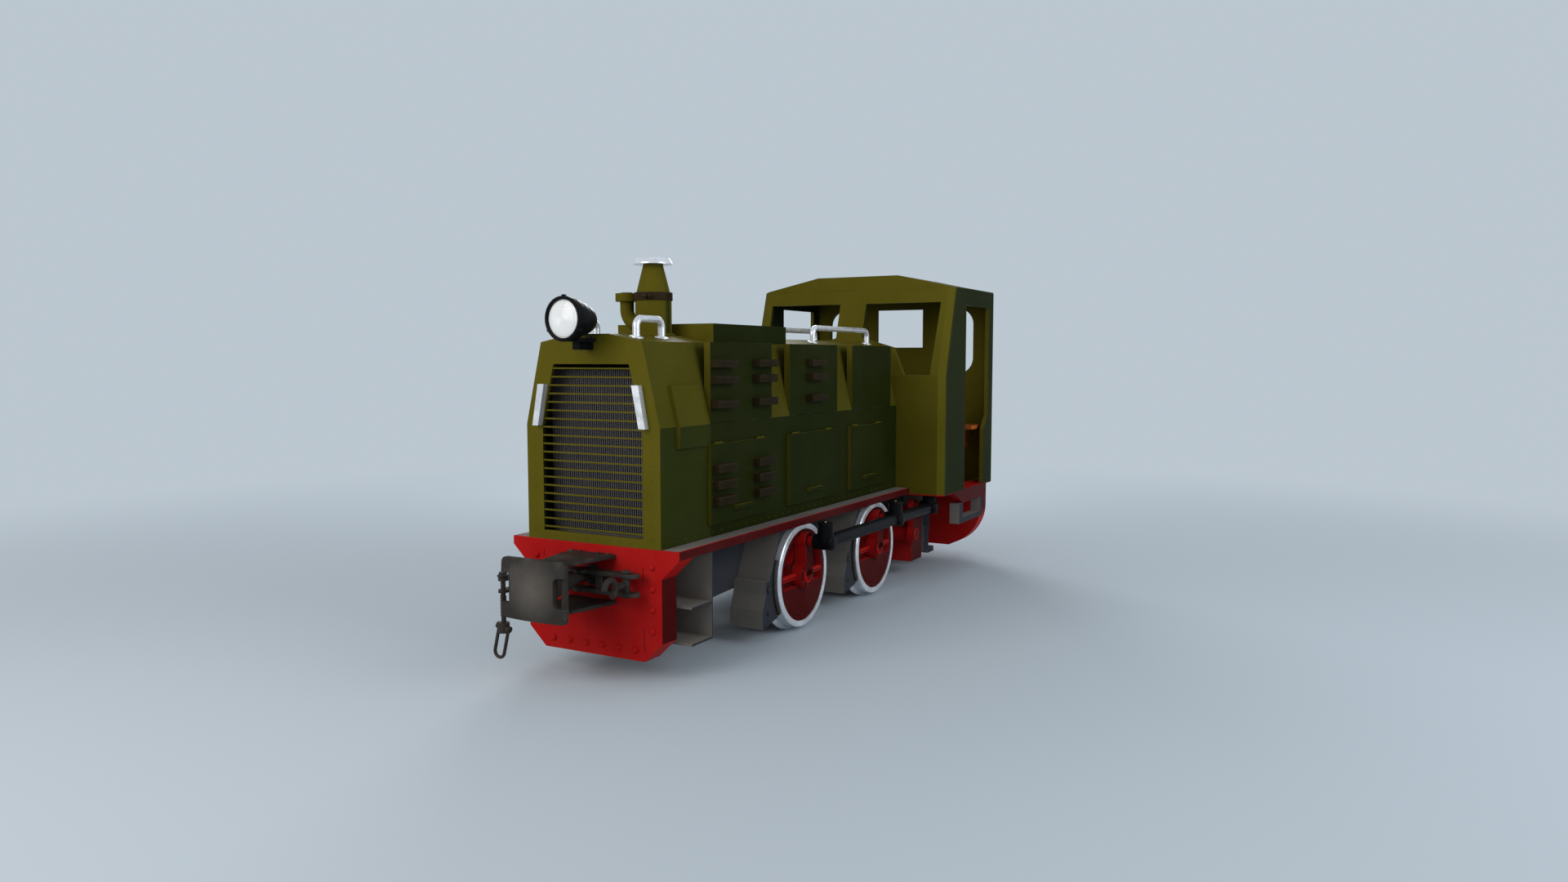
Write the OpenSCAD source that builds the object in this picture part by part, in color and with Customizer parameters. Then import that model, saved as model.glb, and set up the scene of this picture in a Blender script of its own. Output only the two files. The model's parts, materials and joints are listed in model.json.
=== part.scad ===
// Small two-axle diesel locomotive with side rods, a jackshaft and an open-sided rear cab.
// Millimetres. +X is the hood end, +Y the left side, +Z up. The origin is on the floor
// under the middle of the locomotive, level with the lowest point of the wheel flanges.

/* [Main sizes] */
// Length over the two headstocks
body_l = 4794; // [4500:1:5800]
// Length of the hood, from the front headstock face to the cab front
hood_l = 3488; // [2900:1:4200]
// Width of the hood below its slanted shoulders
hood_w = 1000; // [830:1:1200]
// Height of the upright part of the hood side above the deck
hood_side_h = 707; // [600:1:850]
// Height of the hood's top corner above the deck
hood_corner_h = 1208; // [1120:1:1450]
// Distance from the middle of a side rod out to the cab wall's outer face
cab_out = 162.5; // [135:0.5:200]
// Height of the cab side wall top above the deck
cab_wall_h = 1715; // [1560:1:2060]
// Rise of the roof above the side walls
roof_rise = 123; // [60:1:200]
// Lean of the upper cab front, measured at the wall top
cab_lean = 228; // [100:1:280]

/* [Running gear] */
// Diameter of a wheel tread
tread_d = 736; // [700:1:884]
// Height of a wheel flange
flange_h = 27.5; // [20:0.5:34]
// Distance between the two wheelset axes
wheelbase = 1254; // [1050:1:1500]
// Distance from the rear wheelset to the jackshaft
jackshaft_gap = 757; // [640:1:900]
// Distance from the front headstock face to the front wheelset
front_overhang = 1588; // [1350:1:1850]
// Width across the outer faces of the tyres
tyre_span = 1198; // [1120:1:1440]
// Width of a tyre
tyre_w = 125; // [110:1:140]
// Throw of the cranks
crank_r = 244; // [200:1:260]
// Distance from a tyre's outer face out to the middle of a side rod
rod_out = 171; // [165:1:200]
// Diameter of a side rod
rod_d = 92; // [75:1:112]
// Diameter of a crank pin
crankpin_d = 70; // [55:1:84]
// Diameter of the axles
axle_d = 120; // [100:1:140]

/* [Frame] */
// Height of the deck above the tops of the wheel flanges
deck_gap = 19; // [19:1:80]
// Overhang of the footplate beyond the tyres' outer faces
footplate_over = 29; // [24:1:60]
// Depth of the footplate's edge
footplate_t = 51; // [30:1:70]
// Thickness of the footplate's top plate
plate_t = 9; // [5:1:12]
// Gap between a frame plate and the inner faces of the tyres
wheel_gap = 154; // [30:1:170]
// Thickness of a frame plate
frame_t = 30; // [15:1:40]
// Thickness of a headstock
headstock_t = 147; // [100:1:180]
// Distance from the headstock face to the buffer face
buffer_reach = 550; // [480:1:620]

/* [Panels] */
// Thickness of the hood plates
hood_t = 12; // [6:1:20]
// Thickness of the cab walls
cab_t = 36; // [24:1:50]
// Thickness of a hood flap
flap_t = 25; // [16:1:30]
// Thickness of a raised side panel
panel_t = 45; // [30:1:60]

/* [Hidden] */
$fn = 64;

// Clearances
touch = 0.3;
pin_gap = 0.5;
running_gap = 10;

// Heights and places along the locomotive
tread_r = tread_d / 2;
axle_z = tread_r + flange_h;
deck = axle_z + tread_r + flange_h + deck_gap;
footplate_w = tyre_span + 2 * footplate_over;
frame_w = tyre_span - 2 * (tyre_w + wheel_gap);
rod_span = tyre_span + 2 * rod_out;
cab_w = rod_span + 2 * cab_out;
front_x = body_l / 2;
rear_x = -body_l / 2;
axle_1_x = front_x - front_overhang;
axle_2_x = axle_1_x - wheelbase;
jackshaft_x = axle_2_x - jackshaft_gap;
cab_x = front_x - hood_l;

// Hood cross-section
corner_y = 378;
ridge_y = 133;
hood_ridge_h = hood_corner_h + 46;
nose_l = 535;
shoulder_slope = (hood_w / 2 - corner_y) / (hood_corner_h - hood_side_h);

// Half width of the hood at a height above the deck, on the slanted shoulder
function shoulder_y(h) = hood_w / 2 - shoulder_slope * (h - hood_side_h);

// Hood flaps: front ends and rear ends, as distances behind the front face
flap_front = [500, 1517, 2513];
flap_rear = [1240, 2258, 3185];
flap_low = 78;
flap_high = 579;
flap_lap = 22;
hinge_r = 7;
flap_y = hood_w / 2 + touch;
hinge_y = hood_w / 2 + hinge_r + 2;
hinge_z = deck + flap_high + 4;

// Raised side panels: front ends and rear ends, as distances behind the front face
panel_front = [535, 1564, 2590];
panel_rear = [1307, 2325, 3357];

// Louvre hoods
louvre_h = 50;
louvre_proud = 55;

// Cab
cab_low = -49;
knee_h = 961;
lean_angle = atan(cab_lean / (cab_wall_h - knee_h));
chamfer_x = 37;
chamfer_y = 57;
cab_inner_w = cab_w - 2 * cab_t;
skirt_h = 121;
skirt_t = 57;
floor_t = 10;

// Couplers
shank_z = deck - 185;
lever_x = 85;
lever_pin_y = 310;

module both() {
    children();
    mirror([0, 1, 0]) children();
}

// A box given by its lowest and highest corners
module block(low, high) {
    translate(low) cube(high - low);
}

// A cylinder along Y, from y0 to y1, centred on x and z
module bar_y(x, z, y0, y1, d) {
    translate([x, y0, z]) rotate([-90, 0, 0]) cylinder(h = y1 - y0, d = d);
}

module bar_x(x0, x1, y, z, d) {
    translate([x0, y, z]) rotate([0, 90, 0]) cylinder(h = x1 - x0, d = d);
}

// An outline in X and Z, extruded from y0 to y1
module side_plate(y0, y1) {
    translate([0, y1, 0]) rotate([90, 0, 0]) linear_extrude(height = y1 - y0) children();
}

// An outline in Y and Z, extruded from x0 to x1
module cross_plate(x0, x1) {
    translate([x0, 0, 0]) rotate([90, 0, 90]) linear_extrude(height = x1 - x0) children();
}

// Hood outline in Y and Z, drawn inside the outer face by inset
module hood_outline(inset, low = 0) {
    slant = inset / cos(atan(shoulder_slope));
    roof_drop = inset * 1.02;
    half = hood_w / 2 - inset;
    top = corner_y - slant * 0.9;
    polygon([[-half, deck + low], [half, deck + low], [half, deck + hood_side_h - inset * 0.12],
        [top, deck + hood_corner_h - roof_drop], [ridge_y, deck + hood_ridge_h - roof_drop],
        [-ridge_y, deck + hood_ridge_h - roof_drop], [-top, deck + hood_corner_h - roof_drop],
        [-half, deck + hood_side_h - inset * 0.12]]);
}

// The cab's space behind the front wall's outer face, in X and Z
module cab_outline(back) {
    polygon([[cab_x, deck + cab_low - 20], [cab_x, deck + knee_h],
        [cab_x - cab_lean, deck + cab_wall_h], [back, deck + cab_wall_h],
        [back, deck + cab_low - 20]]);
}

// ---------------------------------------------------------------- frame and deck

// Frame plates with horn gaps at the wheelsets, three stretchers and the axleboxes
horn_w = 210;
frame_low = axle_z - 30;
box_half = 120;
box_proud = 15;
stretcher_x = [axle_1_x + 600, (axle_1_x + axle_2_x) / 2, jackshaft_x - 420];

module frame_plate() {
    side_plate(frame_w / 2 - frame_t, frame_w / 2) difference() {
        polygon([[front_x - headstock_t, deck - plate_t],
            [front_x - headstock_t, axle_z - 60], [front_x - headstock_t - 330, axle_z - 60],
            [axle_1_x + 420, frame_low], [jackshaft_x - 300, frame_low],
            [rear_x + headstock_t + 250, axle_z + 60], [rear_x + headstock_t, axle_z + 60],
            [rear_x + headstock_t, deck + cab_low - floor_t],
            [cab_x + touch, deck + cab_low - floor_t], [cab_x + touch, deck - plate_t]]);
        for (x = [axle_1_x, axle_2_x, jackshaft_x])
            translate([x - horn_w / 2, frame_low - 100]) square([horn_w, 100 + box_half + 30]);
    }
}

module axlebox(x) {
    difference() {
        block([x - horn_w / 2, frame_w / 2 - 40, axle_z - 105],
            [x + horn_w / 2, frame_w / 2 + box_proud, axle_z + box_half]);
        bar_y(x, axle_z, frame_w / 2 - 45, frame_w / 2 + 20, axle_d + 2 * pin_gap);
    }
}

module frame() {
    color("dimgray") {
        both() frame_plate();
        both() for (x = [axle_1_x, axle_2_x, jackshaft_x]) axlebox(x);
        for (x = stretcher_x) block([x - 10, -frame_w / 2 + frame_t, axle_z + 60],
            [x + 10, frame_w / 2 - frame_t, deck - footplate_t - 2 * floor_t]);
    }
}

// Front headstock in Y and Z: ears as wide as the footplate, then a narrower plate. The
// footplate's top plate lies on it, up to a lip at the front.
ear_low = 51;
ear_cut_low = 172;
headstock_low = 674;
headstock_corner = 555;
headstock_half = 503;
headstock_foot = 377;

lip_t = 12;
module front_headstock() {
    half = footplate_w / 2;
    color("firebrick") difference() {
        cross_plate(front_x - headstock_t, front_x)
            polygon([[-half, deck], [half, deck], [half, deck - ear_low],
                [headstock_half, deck - ear_cut_low], [headstock_half, deck - headstock_corner],
                [headstock_foot, deck - headstock_low], [-headstock_foot, deck - headstock_low],
                [-headstock_half, deck - headstock_corner], [-headstock_half, deck - ear_cut_low],
                [-half, deck - ear_low]]);
        block([front_x - headstock_t - 1, edge_t - half, deck - plate_t],
            [front_x - lip_t, half - edge_t, deck + 1]);
    }
}

// Rear headstock: as wide as the cab floor, with corners swept in by two large arcs
rear_half = cab_w / 2 - 48;
sweep_r = 400;

module rear_headstock() {
    color("firebrick") cross_plate(rear_x, rear_x + headstock_t) intersection() {
        polygon([[-rear_half, deck + cab_low - floor_t], [rear_half, deck + cab_low - floor_t],
            [rear_half, deck - headstock_low], [-rear_half, deck - headstock_low]]);
        union() {
            translate([-rear_half, deck - headstock_low + sweep_r])
                square([2 * rear_half, headstock_low]);
            translate([-rear_half + sweep_r - 90, deck - headstock_low])
                square([2 * (rear_half - sweep_r + 90), headstock_low]);
            for (s = [-1, 1])
                translate([s * (rear_half - sweep_r), deck - headstock_low + sweep_r])
                    circle(r = sweep_r, $fn = 96);
        }
    }
}

module footplate() {
    color("dimgray") block([cab_x + touch, edge_t - footplate_w / 2, deck - plate_t],
        [front_x - lip_t, footplate_w / 2 - edge_t, deck]);
}

// An upright bar along each side of the footplate, clear of the wheels
edge_t = 15;
module footplate_edges() {
    color("firebrick") both() block([cab_x + touch, footplate_w / 2 - edge_t, deck - footplate_t],
        [front_x - headstock_t, footplate_w / 2, deck]);
}

// Front steps hang from the frame ahead of the wheels; rear stirrups hang from the cab floor
step_back = 560;
module front_step() {
    outer = footplate_w / 2 - 30;
    block([front_x - headstock_t - 20 - step_back, frame_w / 2, axle_z - 200],
        [front_x - headstock_t - 20, frame_w / 2 + 12, deck - footplate_t]);
    block([front_x - headstock_t - 252, frame_w / 2 + 12, deck - 372],
        [front_x - headstock_t - 20, outer, deck - 360]);
    block([front_x - headstock_t - 252, frame_w / 2 + 12, deck - 360],
        [front_x - headstock_t - 240, outer, deck - plate_t - touch]);
    block([front_x - headstock_t - 252, frame_w / 2 + 12, axle_z - 180],
        [front_x - headstock_t - 20, outer, axle_z - 166]);
    block([front_x - headstock_t - 252, frame_w / 2 + 12, axle_z - 166],
        [front_x - headstock_t - 240, outer, deck - 372]);
}

stirrup_x = cab_x - 422;
stirrup_l = 620;
stirrup_w = 50;
rod_half = 57;
module rear_step() {
    low = deck - 350;
    top = deck + cab_low - skirt_h;
    y0 = rod_span / 2 + rod_half + 14;
    y1 = cab_w / 2 - 2;
    difference() {
        block([stirrup_x - stirrup_l, y0, low], [stirrup_x, y1, top]);
        block([stirrup_x - stirrup_l + stirrup_w, y0 - 1, low + stirrup_w],
            [stirrup_x - stirrup_w - 50, y1 + 1, top + 1]);
    }
}

// Guard irons on the frame plates behind the sandboxes
guard_front = jackshaft_x - 498;
guard_l = 125;
guard_outer = frame_w / 2 + 207;
module guard_iron() {
    block([guard_front - guard_l - 55, frame_w / 2, axle_z - 70],
        [guard_front, guard_outer - 12, deck + cab_low - floor_t - touch]);
    block([guard_front - guard_l, frame_w / 2, axle_z - 247], [guard_front, guard_outer, axle_z]);
    block([guard_front - guard_l - 130, frame_w / 2, axle_z - 274],
        [guard_front - guard_l + 20, guard_outer, axle_z - 227]);
}

module steps() {
    color("dimgray") both() {
        front_step();
        rear_step();
        guard_iron();
    }
}

// Brake block carriers ahead of each wheel: a stepped front, a back that follows the tread
module brake_blocks() {
    low = frame_w / 2;
    high = tyre_span / 2 - 25;
    color("dimgray") both() for (x = [axle_1_x, axle_2_x])
        side_plate(low, high) difference() {
            polygon([[x + 290, deck - footplate_t], [x + 449, deck - 383], [x + 493, deck - 383],
                [x + 493, deck - 469], [x + 537, deck - 570], [x + 537, deck - 697],
                [x + 260, deck - 640], [x + 200, deck - footplate_t]]);
            translate([x, axle_z]) circle(r = tread_r + flange_h + running_gap, $fn = 96);
        }
}

// Sandboxes behind the rear wheels
sandbox_l = 245;
sandbox_w = 255;
module sandboxes() {
    front = jackshaft_x - axle_d / 2 - 15;
    color("firebrick") both() difference() {
        block([front - sandbox_l, frame_w / 2, deck - 675], [front, frame_w / 2 + sandbox_w, deck - 225]);
        block([jackshaft_x - horn_w / 2 - touch, 0, 0], [jackshaft_x, frame_w / 2 + box_proud + touch,
            axle_z + box_half + touch]);
    }
}

// ---------------------------------------------------------------- hood

slat_n = 20;
grille_low = 55;
grille_high = 1075;
grille_half = 374;
grille_top_half = 283;

// Opening in the hood's front plate, in Y and Z
module grille_outline() {
    polygon([[-grille_half, deck + grille_low], [grille_half, deck + grille_low],
        [grille_half, deck + hood_side_h], [grille_top_half, deck + grille_high],
        [-grille_top_half, deck + grille_high], [-grille_half, deck + hood_side_h]]);
}

// Front part of the hood, with a raised panel that bends over each shoulder
nose_panel_l = 300;
nose_panel_t = 26;
nose_panel_low = 578;
nose_panel_high = 950;
module hood_nose() {
    color("olivedrab") difference() {
        cross_plate(front_x - nose_l, front_x) hood_outline(0);
        cross_plate(front_x - nose_l - 1, front_x - 2 * hood_t) hood_outline(hood_t, -1);
        cross_plate(front_x - 3 * hood_t, front_x + 1) grille_outline();
    }
    color("olivedrab") both() cross_plate(front_x - nose_panel_l - 165, front_x - 165)
        polygon([[hood_w / 2, deck + nose_panel_low], [hood_w / 2 + nose_panel_t, deck + nose_panel_low],
            [hood_w / 2 + nose_panel_t, deck + hood_side_h],
            [shoulder_y(nose_panel_high) + nose_panel_t, deck + nose_panel_high],
            [shoulder_y(nose_panel_high), deck + nose_panel_high], [hood_w / 2, deck + hood_side_h]]);
}

module hood_shell() {
    color("darkolivegreen") difference() {
        cross_plate(cab_x - 150, front_x - nose_l) hood_outline(0);
        cross_plate(cab_x - 151, front_x - nose_l + 1) hood_outline(hood_t, -1);
        side_plate(-hood_w, hood_w) cab_outline(cab_x - 400);
        for (i = [0 : 2]) block([front_x - flap_rear[i] + flap_lap, -hood_w, deck + flap_low + flap_lap],
            [front_x - max(flap_front[i], nose_l) - flap_lap, hood_w, deck + flap_high - flap_lap]);
    }
}

// Upright plates that stand on the hood's slanted shoulders
module side_panels() {
    color("darkolivegreen") both() for (i = [0 : 2]) difference() {
        block([front_x - panel_rear[i], hood_w / 2 - panel_t, deck + hood_side_h],
            [front_x - panel_front[i], hood_w / 2, deck + hood_corner_h + 2]);
        cross_plate(front_x - panel_rear[i] - 1, front_x - panel_front[i] + 1) hood_outline(0);
    }
}

filter_front = 765;
filter_rear = 1730;
filter_h = 1332;
module filter_housing() {
    color("darkolivegreen") difference() {
        block([front_x - filter_rear, -corner_y, deck + hood_corner_h - 5],
            [front_x - filter_front, corner_y, deck + filter_h]);
        cross_plate(front_x - filter_rear - 1, front_x - filter_front + 1) hood_outline(0);
    }
}

module grille_slats() {
    pitch = (grille_high - grille_low) / slat_n;
    color("darkolivegreen") intersection() {
        for (i = [0 : slat_n - 1])
            block([front_x - hood_t, -grille_half - 1, deck + grille_low + pitch * (i + 0.4)],
                [front_x - 2, grille_half + 1, deck + grille_low + pitch * (i + 0.4) + 10]);
        cross_plate(front_x - 3 * hood_t, front_x) grille_outline();
    }
}

radiator_back = 125;
module radiator() {
    color("dimgray") block([front_x - radiator_back - 90, -grille_half - 30, deck],
        [front_x - radiator_back, grille_half + 30, deck + hood_side_h + 330]);
}

// Polished bars on the nose, leaning with the hood's shoulders
module trim_bars() {
    color("gainsboro") both() cross_plate(front_x, front_x + 40)
        polygon([[377, deck + hood_side_h - 6], [422, deck + hood_side_h - 6],
            [375, deck + 954], [327, deck + 954]]);
}

// Louvre hoods on the raised panels: front ends, in steps behind the front face
louvre_front = [538, 1048, 1811];
louvre_l = 250;
louvre_z = [1078, 978, 825];
module upper_louvres() {
    color("saddlebrown") both() for (x = louvre_front) for (z = louvre_z)
        block([front_x - x - louvre_l, hood_w / 2, deck + z - louvre_h / 2],
            [front_x - x, hood_w / 2 + louvre_proud, deck + z + louvre_h / 2]);
}

stack_x = front_x - 645;
stack_d = 233;
stack_r = stack_d / 2;
module exhaust_stack() {
    color("olive") translate([stack_x, 0, deck + hood_ridge_h]) rotate_extrude($fn = 96)
        polygon([[40, 0], [stack_r, 0], [stack_r, 262], [stack_r - 5, 262], [63, 454],
            [50, 454], [50, 60], [40, 60]]);
}

module stack_cap() {
    color("silver") translate([stack_x, 0, deck + hood_ridge_h + 454]) rotate_extrude($fn = 96)
        polygon([[52, 0], [124, 0], [124, 8], [104, 40], [52, 40]]);
}

// Elbow from the stack's side, turned up to a round flange
elbow_r = 105;
elbow_d = 90;
elbow_y = 210;
elbow_neck = 49;
module intake_elbow() {
    base = deck + hood_ridge_h + 70;
    top = base + elbow_r + elbow_neck;
    color("olive") difference() {
        union() {
            translate([stack_x, -elbow_y + elbow_r, base + elbow_r]) rotate([90, 0, 90])
                rotate([0, 0, 180]) rotate_extrude(angle = 90) translate([elbow_r, 0]) circle(d = elbow_d);
            translate([stack_x, -elbow_y, base + elbow_r]) cylinder(h = elbow_neck, d = elbow_d);
            translate([stack_x, -elbow_y, top]) cylinder(h = 52, d = 150);
            translate([stack_x, -elbow_y, top + 52]) cylinder(h = 6, d = 75);
        }
        translate([stack_x, 0, deck + hood_ridge_h]) cylinder(h = 262, r = stack_r + touch, $fn = 96);
    }
}

// Lamp on a bracket at the top of the nose
lamp_z = deck + 1335;
lamp_r = 127;
module headlight() {
    color("black") {
        translate([front_x + 240, 0, lamp_z]) rotate([0, -90, 0]) rotate_extrude($fn = 96)
            polygon([[0, 12], [112, 12], [112, 0], [lamp_r, 0], [lamp_r, 45], [118, 45],
                [118, 60], [112, 105], [98, 160], [78, 210], [50, 250], [26, 268], [24, 274], [0, 274]]);
        block([front_x, -25, deck + 1159], [front_x + 128, 25, deck + 1206]);
        block([front_x + 20, -60, deck + 1206], [front_x + 170, 60, deck + 1228]);
    }
}

// A handrail along X: two feet and a bar with turned corners
rail_d = 44;
rail_y = 250;
rail_top = 1345;
bend_r = 50;
module handrail(x0, x1) {
    low = deck + hood_corner_h + 22;
    top = deck + rail_top;
    for (x = [x0, x1]) translate([front_x - x, rail_y, low]) cylinder(h = top - bend_r - low, d = rail_d);
    bar_x(front_x - x1 + bend_r, front_x - x0 - bend_r, rail_y, top, rail_d);
    translate([front_x - x0 - bend_r, rail_y, top - bend_r]) rotate([90, 0, 0])
        rotate_extrude(angle = 90) translate([bend_r, 0]) circle(d = rail_d);
    translate([front_x - x1 + bend_r, rail_y, top - bend_r]) rotate([90, 0, 0])
        rotate([0, 0, 90]) rotate_extrude(angle = 90) translate([bend_r, 0]) circle(d = rail_d);
}

module hood_handrails() {
    color("white") difference() {
        both() {
            handrail(120, 378);
            handrail(2400, 3415);
        }
        cross_plate(cab_x - 200, front_x + 10) hood_outline(0);
    }
}

// The engine is one plain block on the footplate
module engine() {
    color("gray") block([front_x - 2950, -290, deck], [front_x - 1250, 290, deck + 820]);
}

// ---------------------------------------------------------------- cab

// Plan of the front wall with its turned-in corners, drawn behind its outer face. The
// leaning part is drawn square to its slope, and a seam smaller all round.
seam = 0.5;
module front_plan(squeeze, trim) {
    half = cab_w / 2 - trim;
    back = trim - (chamfer_x + cab_t) * squeeze;
    corner = -trim - chamfer_x * squeeze;
    inner = -trim - cab_t;
    polygon([[-trim, -half + chamfer_y], [-trim, half - chamfer_y], [corner, half], [back, half],
        [back, half - cab_t], [inner, half - chamfer_y - 10], [inner, -half + chamfer_y + 10],
        [back, -half + cab_t], [back, -half], [corner, -half]]);
}

// Front windows in Y and Z: the inner edge follows the hood at a distance
module front_window() {
    polygon([[800, deck + knee_h + 6], [826, deck + cab_wall_h - 125],
        [126, deck + cab_wall_h - 125], [126, deck + hood_ridge_h + 35],
        [440, deck + hood_corner_h - 5], [565, deck + knee_h + 6]]);
}

module cab_front() {
    color("olive") difference() {
        union() {
            translate([cab_x, 0, deck + cab_low]) linear_extrude(height = knee_h - cab_low)
                front_plan(1, 0);
            intersection() {
                translate([cab_x, 0, deck + knee_h]) rotate([0, -lean_angle, 0])
                    translate([0, 0, -100]) linear_extrude(height = 1200) front_plan(cos(lean_angle), seam);
                block([cab_x - 600, -cab_w, deck + knee_h], [cab_x + 100, cab_w, deck + cab_wall_h]);
            }
        }
        both() cross_plate(cab_x - 500, cab_x + 10) front_window();
    }
}

// Side wall in X and Z, with its open doorway
door_front = cab_x - 540;
door_rear = cab_x - 1172;
door_foot = cab_x - 1056;
module cab_side_outline() {
    difference() {
        polygon([[cab_x - chamfer_x - cab_t, deck + cab_low],
            [cab_x - chamfer_x - cab_t, deck + knee_h],
            [cab_x - chamfer_x - cab_t - cab_lean, deck + cab_wall_h],
            [rear_x, deck + cab_wall_h], [rear_x, deck + cab_low]]);
        polygon([[door_front, deck + cab_low - 1], [door_front, deck + cab_wall_h - 140],
            [door_rear, deck + cab_wall_h - 140], [door_rear, deck + 582], [door_foot, deck + 458],
            [door_foot, deck + cab_low - 1]]);
    }
}

module cab_left_side() {
    color("darkolivegreen") side_plate(cab_w / 2 - cab_t, cab_w / 2) cab_side_outline();
}

module cab_right_side() {
    color("darkolivegreen") side_plate(-cab_w / 2, -cab_w / 2 + cab_t) cab_side_outline();
}

// Rear wall between the side walls, with three windows
rear_window_low = deck + 965;
centre_window_low = deck + 1215;
rear_window_top = deck + cab_wall_h - 135;
module rounded_window(y0, y1) {
    corner = 150;
    hull() {
        translate([y0, rear_window_low]) square([50, rear_window_top - rear_window_low]);
        translate([y1 - corner, rear_window_low + corner]) circle(r = corner, $fn = 48);
        translate([y1 - corner, rear_window_top - corner]) circle(r = corner, $fn = 48);
    }
}

module cab_rear() {
    color("olive") cross_plate(rear_x, rear_x + cab_t) difference() {
        translate([-cab_inner_w / 2, deck + cab_low]) square([cab_inner_w, cab_wall_h - cab_low]);
        translate([-240, centre_window_low]) square([480, rear_window_top - centre_window_low]);
        for (s = [0, 1]) mirror([s, 0]) rounded_window(420, 750);
    }
}

// Roof shell: low sides, a wide flat top and a raked front
roof_t = 20;
roof_flat = 390;
module roof_outline(inset) {
    half = cab_w / 2 - inset;
    polygon([[-half, deck + cab_wall_h - inset * 0.01], [half, deck + cab_wall_h - inset * 0.01],
        [roof_flat - inset * 0.12, deck + cab_wall_h + roof_rise - inset],
        [-roof_flat + inset * 0.12, deck + cab_wall_h + roof_rise - inset]]);
}

module cab_roof() {
    top = deck + cab_wall_h;
    front = cab_x - cab_lean;
    color("olive") difference() {
        intersection() {
            cross_plate(rear_x, front) roof_outline(0);
            side_plate(-cab_w, cab_w) polygon([[front, top], [front - 45, top + roof_rise],
                [rear_x, top + roof_rise], [rear_x, top]]);
        }
        cross_plate(rear_x + roof_t, front - 45 - roof_t) translate([0, -0.5]) roof_outline(roof_t);
        for (s = [0, 1]) mirror([0, s, 0]) translate([front, cab_w / 2 - chamfer_y, top - 10])
            rotate([0, 0, atan(chamfer_x / chamfer_y)]) block([0, -200, 0], [200, 300, roof_rise + 20]);
    }
}

// Floor plate, side skirts with raked front ends, and the sills that carry the plate
module cab_floor() {
    half = cab_w / 2;
    skirt_front = cab_x - 264;
    color("firebrick") {
        difference() {
            block([rear_x, -half, deck + cab_low - floor_t], [cab_x, half, deck + cab_low]);
            both() linear_extrude(height = 2 * deck) polygon([[cab_x + 1, half - chamfer_y - 3],
                [cab_x + 1, half + 1], [cab_x - chamfer_x, half + 1], [cab_x - chamfer_x, half]]);
        }
        both() side_plate(half - skirt_t, half)
            polygon([[skirt_front, deck + cab_low - floor_t],
                [skirt_front - 252, deck + cab_low - skirt_h],
                [rear_x + headstock_t, deck + cab_low - skirt_h],
                [rear_x + headstock_t, deck + cab_low - floor_t]]);
    }
}

// Fold-down seat board on the rear wall, on a bracket
module driver_seat() {
    color("sienna") {
        block([rear_x + cab_t, 500, deck + 455], [rear_x + cab_t + 330, 860, deck + 490]);
        side_plate(640, 720) polygon([[rear_x + cab_t, deck + 260], [rear_x + cab_t + 30, deck + 260],
            [rear_x + cab_t + 250, deck + 435], [rear_x + cab_t + 250, deck + 455],
            [rear_x + cab_t, deck + 455]]);
    }
}

// Desk on the cab side of the hood bulkhead
module control_desk() {
    color("slategray") {
        block([cab_x - cab_t - 200, -330, deck + cab_low], [cab_x - cab_t, 430, deck + 900]);
        block([cab_x - cab_t - 150, 380, deck + 900], [cab_x - cab_t - 60, 430, deck + 985]);
    }
}

// ---------------------------------------------------------------- couplers

buffer_w = 465;
buffer_h = 350;
buffer_t = 34;
notch_h = 172;
notch_d = 78;
corner_r = 32;
neck_r = 28;
neck_l = 160;

// A rectangle w wide and h high about the origin, with round corners
module rounded_plate(w, h, r) {
    square([w - 2 * r, h], center = true);
    square([w, h - 2 * r], center = true);
    for (y = [r - w / 2, w / 2 - r]) for (z = [r - h / 2, h / 2 - r])
        translate([y, z]) circle(r = r);
}

// Convex buffer plate, tapered shank and two guide plates on the headstock
module buffer() {
    color("gray") {
        intersection() {
            translate([0, 0, shank_z])
                cross_plate(front_x + buffer_reach - buffer_t - 15, front_x + buffer_reach)
                difference() {
                    rounded_plate(buffer_w, buffer_h, corner_r);
                    for (y = [-buffer_w / 2, buffer_w / 2]) translate([y, 0])
                        rounded_plate(2 * notch_d, notch_h, corner_r);
                }
            translate([front_x + buffer_reach - 1600, 0, shank_z]) sphere(r = 1600, $fn = 200);
        }
        translate([front_x, 0, shank_z]) rotate([0, 90, 0]) rotate_extrude()
            polygon([[0, 0], [neck_r, 0], [neck_r, neck_l], [34, neck_l], [105, buffer_reach - buffer_t - 15],
                [0, buffer_reach - buffer_t - 15]]);
        both() translate([front_x + buffer_reach - 66, buffer_w / 2 - 40, shank_z - notch_h / 2 - 25])
            cylinder(h = notch_h + 50, d = 40);
    }
}

guide_reach = 330;
module guide_plates() {
    color("gray") for (z = [deck - 71, deck - 348])
        translate([front_x, 0, z]) linear_extrude(height = 20)
            polygon([[0, -175], [0, 175], [guide_reach, 110], [guide_reach, -110]]);
}

module front_buffer() {
    buffer();
    guide_plates();
}

module rear_buffer() {
    mirror([1, 0, 0]) front_buffer();
}

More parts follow.
